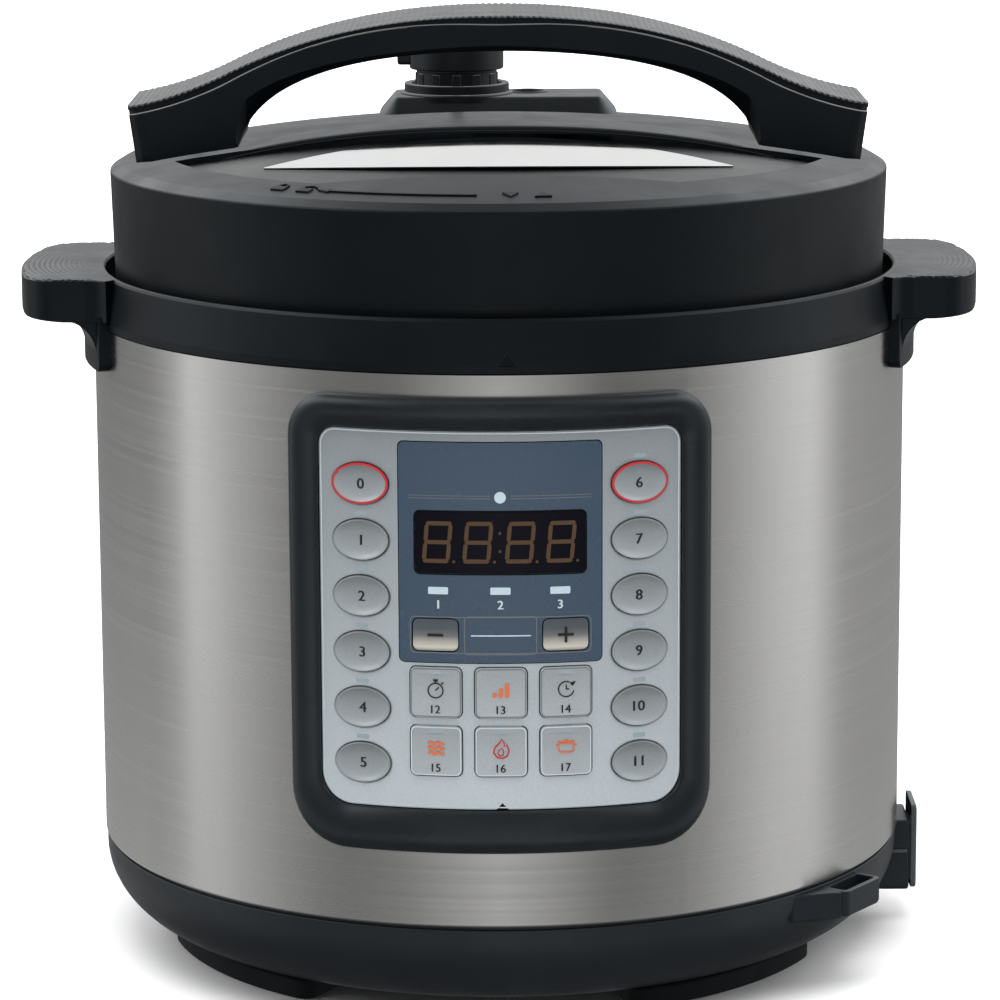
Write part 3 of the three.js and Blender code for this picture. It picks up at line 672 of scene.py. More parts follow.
def ear_outline():
    """One carrying ear from above, flared where it meets the collar."""
    half = [(134.4, -52.6), (136.4, -50.4), (138.6, -49.2), (141.5, -48.6)]
    half += [(x / 2, -48.5 + (x / 2 - 141.5) * 0.03) for x in range(284, 305)]
    for (x0, y0), (cx, cy), (x1, y1), steps in (
        ((152.2, -48.2), (163.5, -47.5), (165.2, -31), 40),
        ((165.2, -31), (170.8, 0), (165.2, 31), 84),
    ):
        for k in range(1, steps + 1):
            t = k / steps
            half.append(((1 - t) ** 2 * x0 + 2 * t * (1 - t) * cx + t * t * x1,
                         (1 - t) ** 2 * y0 + 2 * t * (1 - t) * cy + t * t * y1))
    front = half[:66]
    middle = half[66:]
    return front + middle[:-1] + [(x, -y) for x, y in reversed(front)]


RIDGE_CENTRE = 78  # the x about which the ridges on an ear run in arcs


def ridge(radius):
    """How far the ear's top dips at a radius from the ridges' centre."""
    return 0.42 * (0.5 + 0.5 * math.cos(TAU * radius / 1.87))


def ear():
    """One carrying ear, closed at its inner end by an arc just inside the collar."""
    outline = ear_outline()
    arc = [math.radians(19.9 - 39.8 * k / 24) for k in range(25)]
    inside = [(139.5 * math.cos(a), 139.5 * math.sin(a)) for a in arc]
    loops = []
    for z, inset, ridged in ((227.0, 2.4, 0), (226.6, 1.1, 0), (226.7, 0.4, 0), (227.3, 0, 0), (240.4, 0, 0),
                             (240.95, 0.05, 0), (241.3, 0.25, 1), (241.5, 0.7, 1)):
        ring = shrunk(outline, inset) + inside
        loop = []
        for x, y in ring:
            drop = ridge(math.hypot(x - RIDGE_CENTRE, y)) if ridged and x > 139.5 else 0
            rise = 0.085 * max(0, x - 150) if z < 230 else 0
            loop.append((x, y, z - drop + rise))
        loops.append(loop)
    return lofted(loops)


def ear_top():
    """The ear's grip: fine steps in arcs, sampled on a grid that follows them."""
    outline = ear_outline()
    inner = 140.3
    vertices, faces = [], []
    rows = 46
    reach = [60 + 0.4675 * i for i in range(76)]
    grid = {}
    for i, radius in enumerate(reach):
        for j in range(rows + 1):
            a = math.radians(-58 + 116 * j / rows)
            x, y = RIDGE_CENTRE + radius * math.cos(a), radius * math.sin(a)
            if math.hypot(x, y) < inner or not inside_outline(x, y, outline, 0.6):
                continue
            grid[i, j] = len(vertices)
            vertices.append((x, y, 241.52 - ridge(radius)))
    for i in range(len(reach) - 1):
        for j in range(rows):
            corners = [(i, j), (i + 1, j), (i + 1, j + 1), (i, j + 1)]
            if all(c in grid for c in corners):
                faces.append(tuple(grid[c] for c in corners))
    return vertices, faces


def inside_outline(x, y, outline, margin):
    """Whether a point is inside the ear's outline by a margin."""
    if x < 141.5:
        return abs(y) < 48.4 - margin
    best = 0
    for (ax, ay), (bx, by) in zip(outline, outline[1:]):
        if ay <= y <= by or by <= y <= ay:
            t = 0 if by == ay else (y - ay) / (by - ay)
            best = max(best, ax + (bx - ax) * t)
    return x < best - margin


TAB_ROWS = 15


def tab():
    """The plate under an ear that laps over the shell."""
    foot, tall, corner, face, reach = 209.5, 19, 3.6, 146.6, math.radians(20.4)
    rows = [foot + tall * (k / (TAB_ROWS - 1)) ** 1.6 for k in range(TAB_ROWS)]
    levels = [(142.6, 0), (146.0, 0), (146.45, 0.2), (face, 0.6)]
    loops = []
    for radius, inset in levels:
        left, right = [], []
        for z in rows:
            low = max(0.0, corner - (z - foot))
            spare = corner - math.sqrt(max(0.0, corner ** 2 - low ** 2))
            limit = reach - (spare + inset) / 146
            height = max(z, foot + inset)
            right.append((radius * math.cos(limit), radius * math.sin(limit), height))
            left.append((radius * math.cos(limit), -radius * math.sin(limit), height))
        base_limit = math.atan2(right[0][1], right[0][0])
        across = []
        for k in range(1, 24):
            a = -base_limit + 2 * base_limit * k / 24
            across.append((radius * math.cos(a), radius * math.sin(a), foot + inset))
        loops.append(list(reversed(left)) + across + right)
    return lofted(loops, caps=(False, False), around=False), tab_face(loops[-1], face)


def tab_face(edge, radius):
    """The outer face of a tab, filled between its two upright edges."""
    left = list(reversed(edge[:TAB_ROWS]))
    right = edge[-TAB_ROWS:]
    vertices, faces = [], []
    across = 24
    for k in range(TAB_ROWS):
        a0, a1 = (math.atan2(p[1], p[0]) for p in (left[k], right[k]))
        for i in range(across + 1):
            a = a0 + (a1 - a0) * i / across
            vertices.append((radius * math.cos(a), radius * math.sin(a), left[k][2]))
    for k in range(TAB_ROWS - 1):
        for i in range(across):
            n = k * (across + 1) + i
            faces.append((n, n + 1, n + across + 2, n + across + 1))
    return vertices, faces


def cove():
    """The hollow curve under an ear, from its underside down to the tab."""
    line = [(158.5, 228.3)]
    for k in range(15):
        a = math.pi / 2 * k / 14
        line.append((157 - 10.6 * math.sin(a), 214.5 + 12.6 * math.cos(a)))
    line += [(146.2, 212), (143, 212), (143, 228.3)]
    vertices, faces = [], []
    steps = 26
    for i in range(steps + 1):
        y = -47.6 + 95.2 * i / steps
        for r, z in line:
            vertices.append((math.sqrt(max(0, r * r - y * y)), y, z))
    size = len(line)
    for i in range(steps):
        for k in range(size - 1):
            a = i * size + k
            faces.append((a, a + size, a + size + 1, a + 1))
    faces += [tuple(range(size)), tuple(range(steps * size, (steps + 1) * size))]
    return vertices, faces


def make_collar():
    """The black collar with its ears, tabs and grips."""
    profile = [
        (143.2, 224, 0.4), (143.2, 226.8, 1.5), (141.0, 240.6, 0.6), (140.4, 241.7, 0.4), (139.2, 241.7, 0.5),
        (138.6, 240.9, 0.4), (138.2, 229, 2), (119, 229, 0.4), (119, 226.5, 0.4), (139.5, 226.5, 0.5),
        (139.5, 218, 0.3), (141.5, 218, 0.3), (141.5, 224),
    ]
    parts = [turned(profile, 216)]
    edge, face = tab()
    for turn in (0, math.pi):
        spin = Matrix.Rotation(turn, 4, "Z")
        parts += [moved(part, spin) for part in (ear(), edge, face, cove())]
    piece("upper_collar_shaped", *together(*parts), "body", "black_plastic", ["upper_collar"], sharp=38)
    for side, turn in (("right", 0), ("left", math.pi)):
        top = moved(ear_top(), Matrix.Rotation(turn, 4, "Z"))
        piece(f"ear_grip_{side}", *top, "body", "grip", sharp=180, weighted=False)
    arrow = [(-3.4, 226.6), (3.4, 226.6), (0, 231.4)]
    mark = rings(arrow, [(0, 141.6), (0, 143.35), (0.35, 143.5)], (2.6, 0))
    piece("collar_mark", *bent(mark), "body", "mark")


def make_inside():
    """Pressure vessel, heating plate, sensor and pot."""
    vessel = [
        (10, 50), (107, 50, 3), (117.5, 60, 6), (117.5, 229.3, 0.3), (126, 229.3, 0.3), (126, 230.8, 0.3),
        (117.5, 230.8, 0.3), (117.5, 240, 0.7), (116, 240, 0.7), (116, 60.5, 5), (106.4, 51.5, 3), (10, 51.5),
    ]
    teeth = []
    for i in range(6):
        teeth.append(slab(ring_sector(116.6, 124.5, 30 + 60 * i, 24, 2), 236.4, 238.6, 0.6))
    piece("pressure_vessel_shaped", *together(turned(vessel, 168), *teeth), "body", "aluminium",
          ["pressure_vessel"])
    plate = [
        (12.6, 67.6, 0.6), (84, 67.6, 1.5), (86, 65.6, 1), (86, 58, 3), (80, 51.9, 1), (6, 51.9), (6, 54),
        (12.6, 54),
    ]
    grooves = [turned([(r - 1.2, 67.55), (r, 67.62), (r + 1.2, 67.55), (r, 67.5)], 120)
               for r in (30, 46, 62, 76)]
    piece("heating_plate_shaped", *together(turned(plate, 120), *grooves), "body", "aluminium",
          ["heating_plate"])
    head = [(0, 67.5), (10.5, 67.5, 1), (12, 66.5, 1), (12, 62, 0.6), (4, 62, 0.5), (4, 40, 0.6), (0, 40)]
    piece("sensor_plunger_shaped", *turned(head, 48, closed=False), "sensor", "aluminium", ["sensor_plunger"])
    pot = [
        (0, 68), (102, 68, 6), (111.2, 77, 9), (111.2, 240.4, 0.5), (119.4, 240.4, 1), (119.4, 242.8, 1),
        (111.4, 242.8, 1), (110, 241.4, 1), (110, 78, 8), (101.4, 70.8, 5), (0, 70.8),
    ]
    lines = [turned([(110.02, z - 0.35), (109.7, z), (110.02, z + 0.35)], 168, closed=False)
             for z in (120, 160, 200)]
    piece("inner_pot_shaped", *together(turned(pot, 168, closed=False), *lines), "pot", "pot_steel",
          ["inner_pot"])


# ---- Cup at the back ----


def tray(half, front, back, bottom, top, wall, edge=1.2):
    """An open-topped box with rounded edges."""
    depth = (back - front) / 2
    middle = (back + front) / 2

    def loop(inset, z, corner):
        points = box_points(half - inset, depth - inset, corner, 8, 3, 6)
        return [(x, middle + y, z) for x, y in points]

    loops = [
        loop(edge, bottom, 2.4), loop(edge * 0.3, bottom + edge * 0.3, 3.1), loop(0, bottom + edge, 3.4),
        loop(0, top - 0.5, 3.4), loop(0.15, top - 0.15, 3.3), loop(0.5, top, 3), loop(wall - 0.5, top, 2.3),
        loop(wall - 0.15, top - 0.15, 2), loop(wall, top - 0.5, 2), loop(wall, bottom + wall + 1, 2),
        loop(wall + 1, bottom + wall, 1.2),
    ]
    return lofted(loops)


def make_cup():
    """The condensation cup and the pocket it slides into."""
    cup = tray(24, 128, 147.5, 150, 212, 1.6)
    ribs = [shifted(slab(box_points(0.9, 0.6, 0.4, 1, 1, 3), 160, 200, 0.4), x=x, y=147.7)
            for x in (-8, -4, 0, 4, 8)]
    piece("condensation_cup_shaped", *together(cup, *ribs), "cup", "dark_plastic", ["condensation_cup"])
    outer = box_points(26.2, 33.2, 4, 8, 10, 6)
    inner = box_points(24.7, 31.7, 3, 8, 10, 6)

    def loop(outline, y, inset=0.0):
        return [(x, y, 181 + z) for x, z in shrunk(outline, inset)]

    loops = [
        loop(outer, 125.4, 0.8), loop(outer, 126.2), loop(outer, 143.7), loop(outer, 144.3, 0.2),
        loop(outer, 144.5, 0.6), loop(inner, 144.5, -0.3), loop(inner, 144.1), loop(inner, 127.3),
    ]
    piece("cup_pocket_shaped", *lofted(loops), "body", "black_plastic", ["cup_pocket"])


# ---- Control panel ----

KEY_GAP = 0.35
KEY_SIZE = {"oval": (19.1, 13.4), "mode": (17.1, 16.8), "step": (15, 10.6)}


def ellipse(width, height, count=64):
    """Points round an ellipse on the panel."""
    return [(width / 2 * math.cos(TAU * i / count), height / 2 * math.sin(TAU * i / count))
            for i in range(count)]


def pad(width, height, corner=2.0, across=6, up=6):
    """Points round a rectangle of a whole width and height, with rounded corners."""
    return box_points(width / 2, height / 2, corner, across, up, 6)


def prism(outline, near, far, centre=(0, 0)):
    """An outline on the panel as a block from one radius to another, drawn flat."""
    return rings(outline, [(0, near), (0, far)], centre)


OVAL_LEFT = ("cancel", "rice", "multigrain", "soup", "meat_stew", "poultry")
OVAL_RIGHT = ("start", "fish", "steam", "beans_chili", "yogurt", "porridge")
MODES = (("manual", "adjust", "delay"), ("keep_warm", "sear", "slow_cook"))


OVAL_COLUMN, OVAL_ROW = 46.4, 18.66  # from the middle of the panel to the oval keys, and between their rows
MODE_COLUMN = 21.4  # between the columns of mode keys


def key_places():
    """Each key's kind, and its middle as (arc, height)."""
    places = {}
    for side, names in ((-1, OVAL_LEFT), (1, OVAL_RIGHT)):
        for row, name in enumerate(names):
            places[name] = ("oval", side * OVAL_COLUMN, 94.3 + OVAL_ROW * (5 - row))
    for level, names in enumerate(MODES):
        for column, name in enumerate(names):
            places[name] = ("mode", (column - 1) * MODE_COLUMN, (119.1, 99.4)[level])
    places["minus"] = ("step", -MODE_COLUMN, 138.3)
    places["plus"] = ("step", MODE_COLUMN, 138.3)
    return places


KEYS = key_places()


def key_outline(kind, clearance=0.0):
    """A key's outline round its own middle, or the outline of its hole."""
    wide, tall = (size + 2 * clearance for size in KEY_SIZE[kind])
    return ellipse(wide, tall) if kind == "oval" else pad(wide, tall, 2 + clearance)


def sliced_plate(half, low, high, corner, near, far, slices, lower_corner=None):
    """A flat plate of upright slices, so that it bends smoothly; radii run from near to far."""
    lower_corner = lower_corner or corner

    def rounding(u, radius):
        over = abs(u) - (half - radius)
        return radius - math.sqrt(max(0.0, radius ** 2 - over ** 2)) if over > 0 else 0.0

    stations = {round(-half + 2 * half * i / slices, 4) for i in range(slices + 1)}
    for radius in {corner, lower_corner}:
        for k in range(9):
            u = half - radius * (1 - math.sin(math.pi / 2 * k / 8))
            stations |= {round(u, 4), round(-u, 4)}
    loops = []
    for u in sorted(stations):
        bottom, top = low + rounding(u, lower_corner), high - rounding(u, corner)
        loops.append([(u, bottom, near), (u, top, near), (u, top, far), (u, bottom, far)])
    return lofted(loops)


def panel_loop(half, low, high, top_corner, bottom_corner, radius, across=40, up=24, corner=10):
    """A rounded rectangle on the panel whose lower corners may be rounder than its upper ones."""
    points = []
    corners = [(1, -1, -90, bottom_corner), (1, 1, 0, top_corner), (-1, 1, 90, top_corner),
               (-1, -1, 180, bottom_corner)]

    def spot(index, degrees):
        sx, sy, _, size = corners[index]
        a = math.radians(degrees)
        return (sx * (half - size) + size * math.cos(a),
                (low + size if sy < 0 else high - size) + size * math.sin(a))

    for index, (_, _, start, _) in enumerate(corners):
        points += [spot(index, start + 90 * k / corner) for k in range(corner + 1)]
        head, tail = points[-1], spot((index + 1) % 4, start + 90)
        divisions = up if index in (0, 2) else across
        for k in range(1, divisions):
            t = k / divisions
            points.append((head[0] + (tail[0] - head[0]) * t, head[1] + (tail[1] - head[1]) * t))
    return [(u, z, radius) for u, z in points]


def make_bezel():
    """The black frame round the panel."""
    levels = [
        (0, 143.3), (0, 144.6), (0.02, 145.25), (0.06, 145.95), (0.12, 146.6), (0.20, 147.1), (0.30, 147.4),
        (0.42, 147.5), (0.56, 147.35), (0.70, 146.95), (0.84, 146.3), (0.93, 145.65), (0.98, 145.15),
        (1.0, 144.7), (1.0, 144.0), (1.0, 140.2),
    ]
    loops = [panel_loop(72.1 - 10.8 * t, 64.8 + 14.6 * t, 216.6 - 10.6 * t, 14 - 8 * t, 20 - 9 * t, radius)
             for t, radius in levels]
    piece("control_bezel_shaped", *bent(lofted(loops, (False, False))), "body", "bezel_plastic",
          ["control_bezel"], sharp=40)


def key_holes(kinds):
    """Prisms to cut the keys' holes, drawn flat."""
    return [prism(key_outline(kind, KEY_GAP), 138, 150, (u, z))
            for kind, u, z in KEYS.values() if kind in kinds]


def make_fascia():
    """The silver panel, a painted highlight along its edge, and rings round its keys in the keys' material
    with its painted shade.
    """
    plate = sliced_plate(61, 79.8, 205.6, 5.7, 141.4, 144, 56, 10.7)
    notch = prism([(-3.4, -1.6), (3.4, -1.6), (0, 1.9)], 138, 150, (0.4, 80.0))
    window = prism(pad(67.5, 73.5, 2, 10, 10), 138, 150, (0, 165.55))
    cut = carved(plate, key_holes(("oval", "mode")) + [window, notch])
    piece("control_fascia_shaped", *bent(cut), "body", "silver_fascia", ["control_fascia"], sharp=30,
          weighted=False)
    # A pale line just inside the fascia's edge: a painted highlight along it.
    edge_highlight = [panel_loop(60.55 - inset, 80.25 + inset, 205.15 - inset, 5.3 - inset, 10.3 - inset, radius)
            for inset, radius in ((0, 143.98), (0, 144.1), (0.4, 144.1), (0.4, 143.98))]
    piece("fascia_edge_highlight", *bent(lofted(edge_highlight, (False, False))), "body", "ink_pale")
    below = sliced_plate(62, 79, 206.4, 6, 139.9, 140.3, 56)
    piece("fascia_backing", *bent(below), "body", "mark")
    # Rings round the oval keys, in the keys' material, which carries painted shade.
    shades = []
    for kind, u, z in KEYS.values():
        if kind == "oval":
            shades.append(rings(ellipse(20.9, 15.2), [(0, 143.95), (0.35, 144.1), (0.6, 143.95)], (u, z),
                                (False, False)))
    piece("key_surrounds", *bent(together(*shades)), "body", "silver_key")
    fills = []
    for column in (-MODE_COLUMN, 0, MODE_COLUMN):
        for z in (110.52, 107.98):
            fills.append([(column + a, z + b) for a, b in pad(13.6, 0.3, 0.1, 4, 1)])
    printed("mode_key_fills", fills, "body", "silver_pad", 143.9, 0.1)


def make_window():
    """The blue window and the display in it."""
    plate = sliced_plate(33.4, 129.1, 202, 2, 141.9, 144.2, 40)
    opening = prism(pad(56.0, 20.4, 1.6, 10, 4), 138, 150, (0, 169))
    cut = carved(plate, key_holes(("step",)) + [opening])
    piece("display_window_shaped", *bent(cut), "body", "blue_window", ["display_window"], sharp=30,
          weighted=False)
    glass = sliced_plate(27.9, 158.9, 179.1, 1.5, 141.9, 144.0, 36)
    piece("led_display_shaped", *bent(glass), "body", "display", ["led_display"], sharp=30, weighted=False)
    edge = rings(box_outline(28.0, 10.2, 1.6), [(0, 144.2), (-0.28, 144.32), (-0.5, 144.2)], (0, 169),
                 (False, False))
    piece("display_edge", *bent(edge), "body", "mark")


def segment_bars(cx, cz, wide, tall, thick, slant):
    """The seven bars of one digit."""
    bars = []
    w, h, t = wide / 2, tall / 2, thick / 2
    gap = 0.22

    def slanted(points):
        return [(cx + x + slant * y, cz + y) for x, y in points]

    for y in (h, 0, -h):
        inner = y - (t if y > 0 else -t if y < 0 else 0)
        a, b = -w + gap + t, w - gap - t
        steps = [a + (b - a) * k / 5 for k in range(6)]
        bars.append(slanted([(a - t, inner)] + [(x, inner - t) for x in steps] + [(b + t, inner)] +
                            [(x, inner + t) for x in reversed(steps)]))
    for x in (-w + t, w - t):
        for low, high in ((-h + t + gap, -gap), (gap, h - t - gap)):
            bars.append(slanted([(x, low), (x + t, low + t), (x + t, high - t), (x, high), (x - t, high - t),
                                 (x - t, low + t)]))
    return bars


def printed(name, outlines, body, paint, radius, thick=0.05):
    """Flat outlines printed on the panel at a radius, each outline a list of (arc, height)."""
    parts = []
    for outline in outlines:
        parts.append(lofted([[(u, z, radius) for u, z in outline],
                             [(u, z, radius + thick) for u, z in outline]],
                            (False, True)))
    return piece(name, *bent(together(*parts)), body, paint, weighted=False, sharp=25)


def line(points, width):
    """A stroke of constant width through points, as a closed outline."""
    left, right = [], []
    count = len(points)
    for i, (x, y) in enumerate(points):
        ax, ay = points[max(0, i - 1)]
        bx, by = points[min(count - 1, i + 1)]
        length = math.hypot(bx - ax, by - ay) or 1
        nx, ny = -(by - ay) / length * width / 2, (bx - ax) / length * width / 2
        left.append((x + nx, y + ny))
        right.append((x - nx, y - ny))
    return left + list(reversed(right))


def stroke(points, width):
    """The same stroke as separate small plates, so that it may curve or close on itself."""
    outline = line(points, width)
    count = len(points)
    return [[outline[i], outline[i + 1], outline[2 * count - 2 - i], outline[2 * count - 1 - i]]
            for i in range(count - 1)]


def loop_stroke(points, width):
    """A stroke round a closed outline, as separate small plates."""
    inner, outer = [], []
    count = len(points)
    for i in range(count):
        ax, ay = points[i - 1]
        bx, by = points[(i + 1) % count]
        x, y = points[i]
        length = math.hypot(bx - ax, by - ay) or 1
        nx, ny = -(by - ay) / length * width / 2, (bx - ax) / length * width / 2
        outer.append((x + nx, y + ny))
        inner.append((x - nx, y - ny))
    return [[outer[i], outer[(i + 1) % count], inner[(i + 1) % count], inner[i]] for i in range(count)]


def number(name, text, size, centre, body, paint, radius, weight, widen=1.0):
    """A number in the built-in font, laid on the panel with its middle at (arc, height).

    The radius may be a function of the distance from that middle. Two copies, set apart by the weight,
    embolden it.
    """
    curve = bpy.data.curves.new(name, "FONT")
    curve.body = text
    curve.size = size * MM
    curve.align_x = "CENTER"
    curve.align_y = "CENTER"
    curve.resolution_u = 3
    made = bpy.data.objects.new(name, curve)
    LINKED.link(made)
    bpy.context.view_layer.update()
    vertices, faces = from_object(made)
    bpy.data.curves.remove(curve)
    across, up = ([v[axis] for v in vertices] for axis in (0, 1))
    mx, my = (min(across) + max(across)) / 2, (min(up) + max(up)) / 2
    copies = []
    for push in (-weight, 0, weight):
        flat = []
        for x, y, _ in vertices:
            u, z = (x - mx) * widen + push, y - my
            flat.append((centre[0] + u, centre[1] + z,
                         (radius(u, z) if callable(radius) else radius) + push * 0.05))
        copies.append((flat, list(faces)))
    return piece(name, *bent(together(*copies)), body, paint, weighted=False)


def make_display():
    """What is printed on the display and the window."""
    digits = []
    for cx in (-20.6, -7.3, 6.6, 20.0):
        digits += segment_bars(cx, 169.1, 9.2, 13.8, 1.35, 0.09)
        digits.append(circle(cx + 5.4, 162.7, 0.5, 12))
    digits += [circle(-0.1, z, 0.5, 12) for z in (166.2, 172.2)]
    printed("display_segments", digits, "body", "segment", 144.0)
    rules = []
    for start, end in ((-30.0, -3.2), (3.2, 30.0)):
        for z in (183.6, 184.5):
            rules += stroke([(start + (end - start) * k / 16, z) for k in range(17)], 0.22)
    printed("window_rules", rules, "body", "ink_line", 144.2)
    printed("window_dot", [circle(0, 184.0, 1.9, 28)], "body", "lamp_pale", 144.2, 0.15)
    lamps = [[(u + a, 153.1 + b) for a, b in pad(6.6, 2.4, 0.4, 2, 2)] for u in (-20.4, 0, 19.6)]
    printed("level_lamps", lamps, "body", "lamp_pale", 144.2, 0.12)
    for u, level in ((-20.4, "1"), (0, "2"), (19.6, "3")):
        number(f"level_{level}", level, 4.1, (u, 148.5), "body", "ink_pale", 144.26, 0.11)
    rule = stroke([(-9.7 + 19.6 * k / 14, 138.2) for k in range(15)], 0.4)
    printed("hours_rule", rule, "body", "ink_pale", 144.2)
    frames = []
    for middle, outline in ((138.2, pad(23.6, 12.6, 1.2, 8, 3)), (138.3, pad(59.6, 12.0, 1.6, 20, 3))):
        frames += [[(u, z + middle) for u, z in plate] for plate in loop_stroke(outline, 0.3)]
    printed("step_key_frames", frames, "body", "ink_line", 144.2)


DISH = ((0, 139.5), (0, 144.5), (0.06, 144.74), (0.2, 144.88), (0.38, 144.9), (0.62, 144.82), (1.0, 144.62),
        (1.6, 144.36), (2.4, 144.12), (3.4, 143.96), (4.4, 143.88), (5.4, 143.84), (6.2, 143.83))


def dish(u, z):
    """The radius of an oval key's hollowed face, a little above its surface, at (u, z) from its middle."""
    inset = (1 - math.hypot(u / 9.55, z / 6.7)) * 6.7
    inset = max(0.0, inset)
    for (a, low), (b, high) in zip(DISH[1:], DISH[2:]):
        if a <= inset <= b:
            return low + (high - low) * (inset - a) / (b - a) + 0.07
    return DISH[-1][1] + 0.07


def key_body(kind):
    """One key's cap, round its own middle: an oval key is hollowed, the others are flat."""
    outline = key_outline(kind)
    if kind == "oval":
        levels = DISH
    elif kind == "mode":
        levels = [(0, 139.5), (0, 144.3), (0.14, 144.66), (0.42, 144.86), (0.8, 144.9), (1.3, 144.86),
                  (2.4, 144.78)]
    else:
        levels = [(0, 139.5), (0, 144.1), (0.12, 144.36), (0.35, 144.5), (0.7, 144.54), (1.6, 144.5),
                  (3.0, 144.46)]
    loops = []
    for inset, radius in levels:
        if kind == "oval":
            share = 1 - inset / 6.7
            loops.append([(x * share, z * share, radius) for x, z in outline])
        else:
            wide, tall = (size - 2 * inset for size in KEY_SIZE[kind])
            loops.append([(x, z, radius) for x, z in pad(wide, tall, max(2 - inset, 0.4))])
    return lofted(loops)


# The keys carry plain numbers, down each column and then along the rows, and no words.
NUMBERS = {name: str(i) for i, name in enumerate(OVAL_LEFT + OVAL_RIGHT + MODES[0] + MODES[1])}


def wavy(z, width, height):
    """Points along two full waves."""
    return [(-width / 2 + width * k / 20, z + height * math.sin(TAU * k / 10)) for k in range(21)]


def icons():
    """Outlines and ink of each mode key's picture, round its own middle."""
    watch = loop_stroke(circle(0, -0.3, 2.5), 0.42) + [line([(0, -0.3), (1.1, 0.9)], 0.42)]
    watch += [line([(-0.8, 3.2), (0.8, 3.2)], 0.7), line([(0, 2.2), (0, 3.2)], 0.5),
              line([(2, 1.9), (2.6, 2.5)], 0.5)]
    bars = [[(x, -2.4), (x + 1.25, -2.4), (x + 1.25, h), (x, h)] for x,
            h in ((-2.7, -0.9), (-0.65, 0.6), (1.4, 2.3))]
    clock = stroke(circle(0, 0, 2.6, 24, 1.1, TAU - 1.3), 0.4) + [line([(0, 0), (0, 1.5)], 0.4),
                                                                  line([(0, 0), (1, 0)], 0.4)]
    clock += [[(1.2, 2.2), (3.3, 2.6), (2.1, 0.9)]]
    heat = []
    for z in (-1.7, 0, 1.7):
        heat += stroke(wavy(z, 5.4, 0.42), 0.75)
    flame = loop_stroke([(0.1, 3.4), (1.1, 1.9), (1.0, 0.9), (1.9, 1.5), (2.6, -0.6), (2.0, -2.4),
                         (0.4, -3.2), (-1.3, -2.9), (-2.5, -1.3), (-2.1, 0.5), (-1.2, 1.4), (-0.4, 2.2)], 0.5)
    flame += loop_stroke([(0.2, 0.3), (0.9, -0.9), (0.6, -2.1), (-0.4, -2.4), (-1.1, -1.5), (-0.7, -0.5)],
                         0.38)
    pot = loop_stroke(pad(5.0, 3.0, 0.8, 3, 2), 0.45) + [line([(-3.5, 1.0), (-2.5, 1.0)], 0.45),
                                                        line([(2.5, 1.0), (3.5, 1.0)], 0.45)]
    pot += stroke([(-2.9, 2.1), (2.9, 2.1)], 0.45) + [line([(-0.5, 2.7), (0.5, 2.7)], 0.5)]
    return {
        "manual": (watch, "ink_black"), "adjust": (bars, "ink_orange"), "delay": (clock, "ink_black"),
        "keep_warm": (heat, "ink_orange"), "sear": (flame, "ink_red"), "slow_cook": (pot, "ink_orange"),
    }


def make_keys():
    """The keys, with their numbers, pictures, outlines and lamps."""
    pictures = icons()
    lamps = []
    for name, (kind, u, z) in KEYS.items():
        rides = f"press_{name}"
        paint = {"step": "step_key", "mode": "silver_pad", "oval": "silver_key"}[kind]
        vertices, faces = key_body(kind)
        shape = bent(([(u + x, z + y, r) for x, y, r in vertices], faces))
        piece(f"key_{name}_shaped", *shape, rides, paint, [f"key_{name}"], sharp=40)
        if kind == "oval":
            number(f"label_{name}", NUMBERS[name], 4.9, (u, z - 0.2), rides, "ink_black", dish, 0.13, 1.05)
            if name in ("cancel", "start"):
                band = rings(ellipse(19.3, 13.6), [(0, 144.2), (0, 144.93), (0.7, 144.98), (0.7, 144.6)],
                             (u, z), (False, False))
                piece(f"outline_{name}", *bent(band), rides, "ink_red")
            if name != "cancel":
                lamps.append([(u + a, z + 8.65 + b) for a, b in pad(4.3, 1.5, 0.3, 2, 2)])
        elif kind == "mode":
            outlines, ink = pictures[name]
            placed = [[(u + a * 0.98, z + 1.0 + b * 0.98) for a, b in outline] for outline in outlines]
            printed(f"icon_{name}", placed, rides, ink, 144.84)
            number(f"label_{name}", NUMBERS[name], 3.9, (u, z - 5.6), rides, "ink_black", 144.86, 0.06)
            if name != "adjust":
                spot = [(u + a, z + 6.8 + b) for a, b in pad(4.0, 1.3, 0.3, 2, 2)]
                printed(f"lamp_{name}", [spot], rides, "lamp", 144.84)
            # The upper row's outlines are dark and the lower row's pale: painted shade along the upper pads,
            # painted highlight along the lower ones.
            edge = rings(pad(16.5, 16.2, 1.8), [(0, 144.8), (0, 144.93), (0.3, 144.93), (0.3, 144.8)], (u, z),
                         (False, False))
            piece(f"outline_{name}", *bent(edge), rides, "ink_line" if name in MODES[0] else "ink_pale")
        else:
            bars = [line([(-2.6, 0), (2.6, 0)], 0.9)]
            if name == "plus":
                bars.append(line([(0, -2.6), (0, 2.6)], 0.9))
            printed(f"sign_{name}", [[(u + a, z + b) for a, b in bar] for bar in bars], rides, "ink_black",
                    144.56)
    printed("key_lamps", lamps, "body", "lamp", 144.0)


# ---- Lid ----

KNOB_AT = (-15, 52)
FLOAT_AT = (10.7, 55)
SCREW_X = 107  # of the two screws that hold the handle
RECESS_DEPTH = 2.2


def bore(place, radius, low, high, segments):
    """An upright cylinder, to cut a hole with or to stand as a post."""
    return turned([(0, low), (radius, low), (radius, high), (0, high)], segments, closed=False, centre=place)


def dome(radius):
    """The height of the lid's top at a radius."""
    return 278 + 13 * (1 - (radius / 131.8) ** 2)


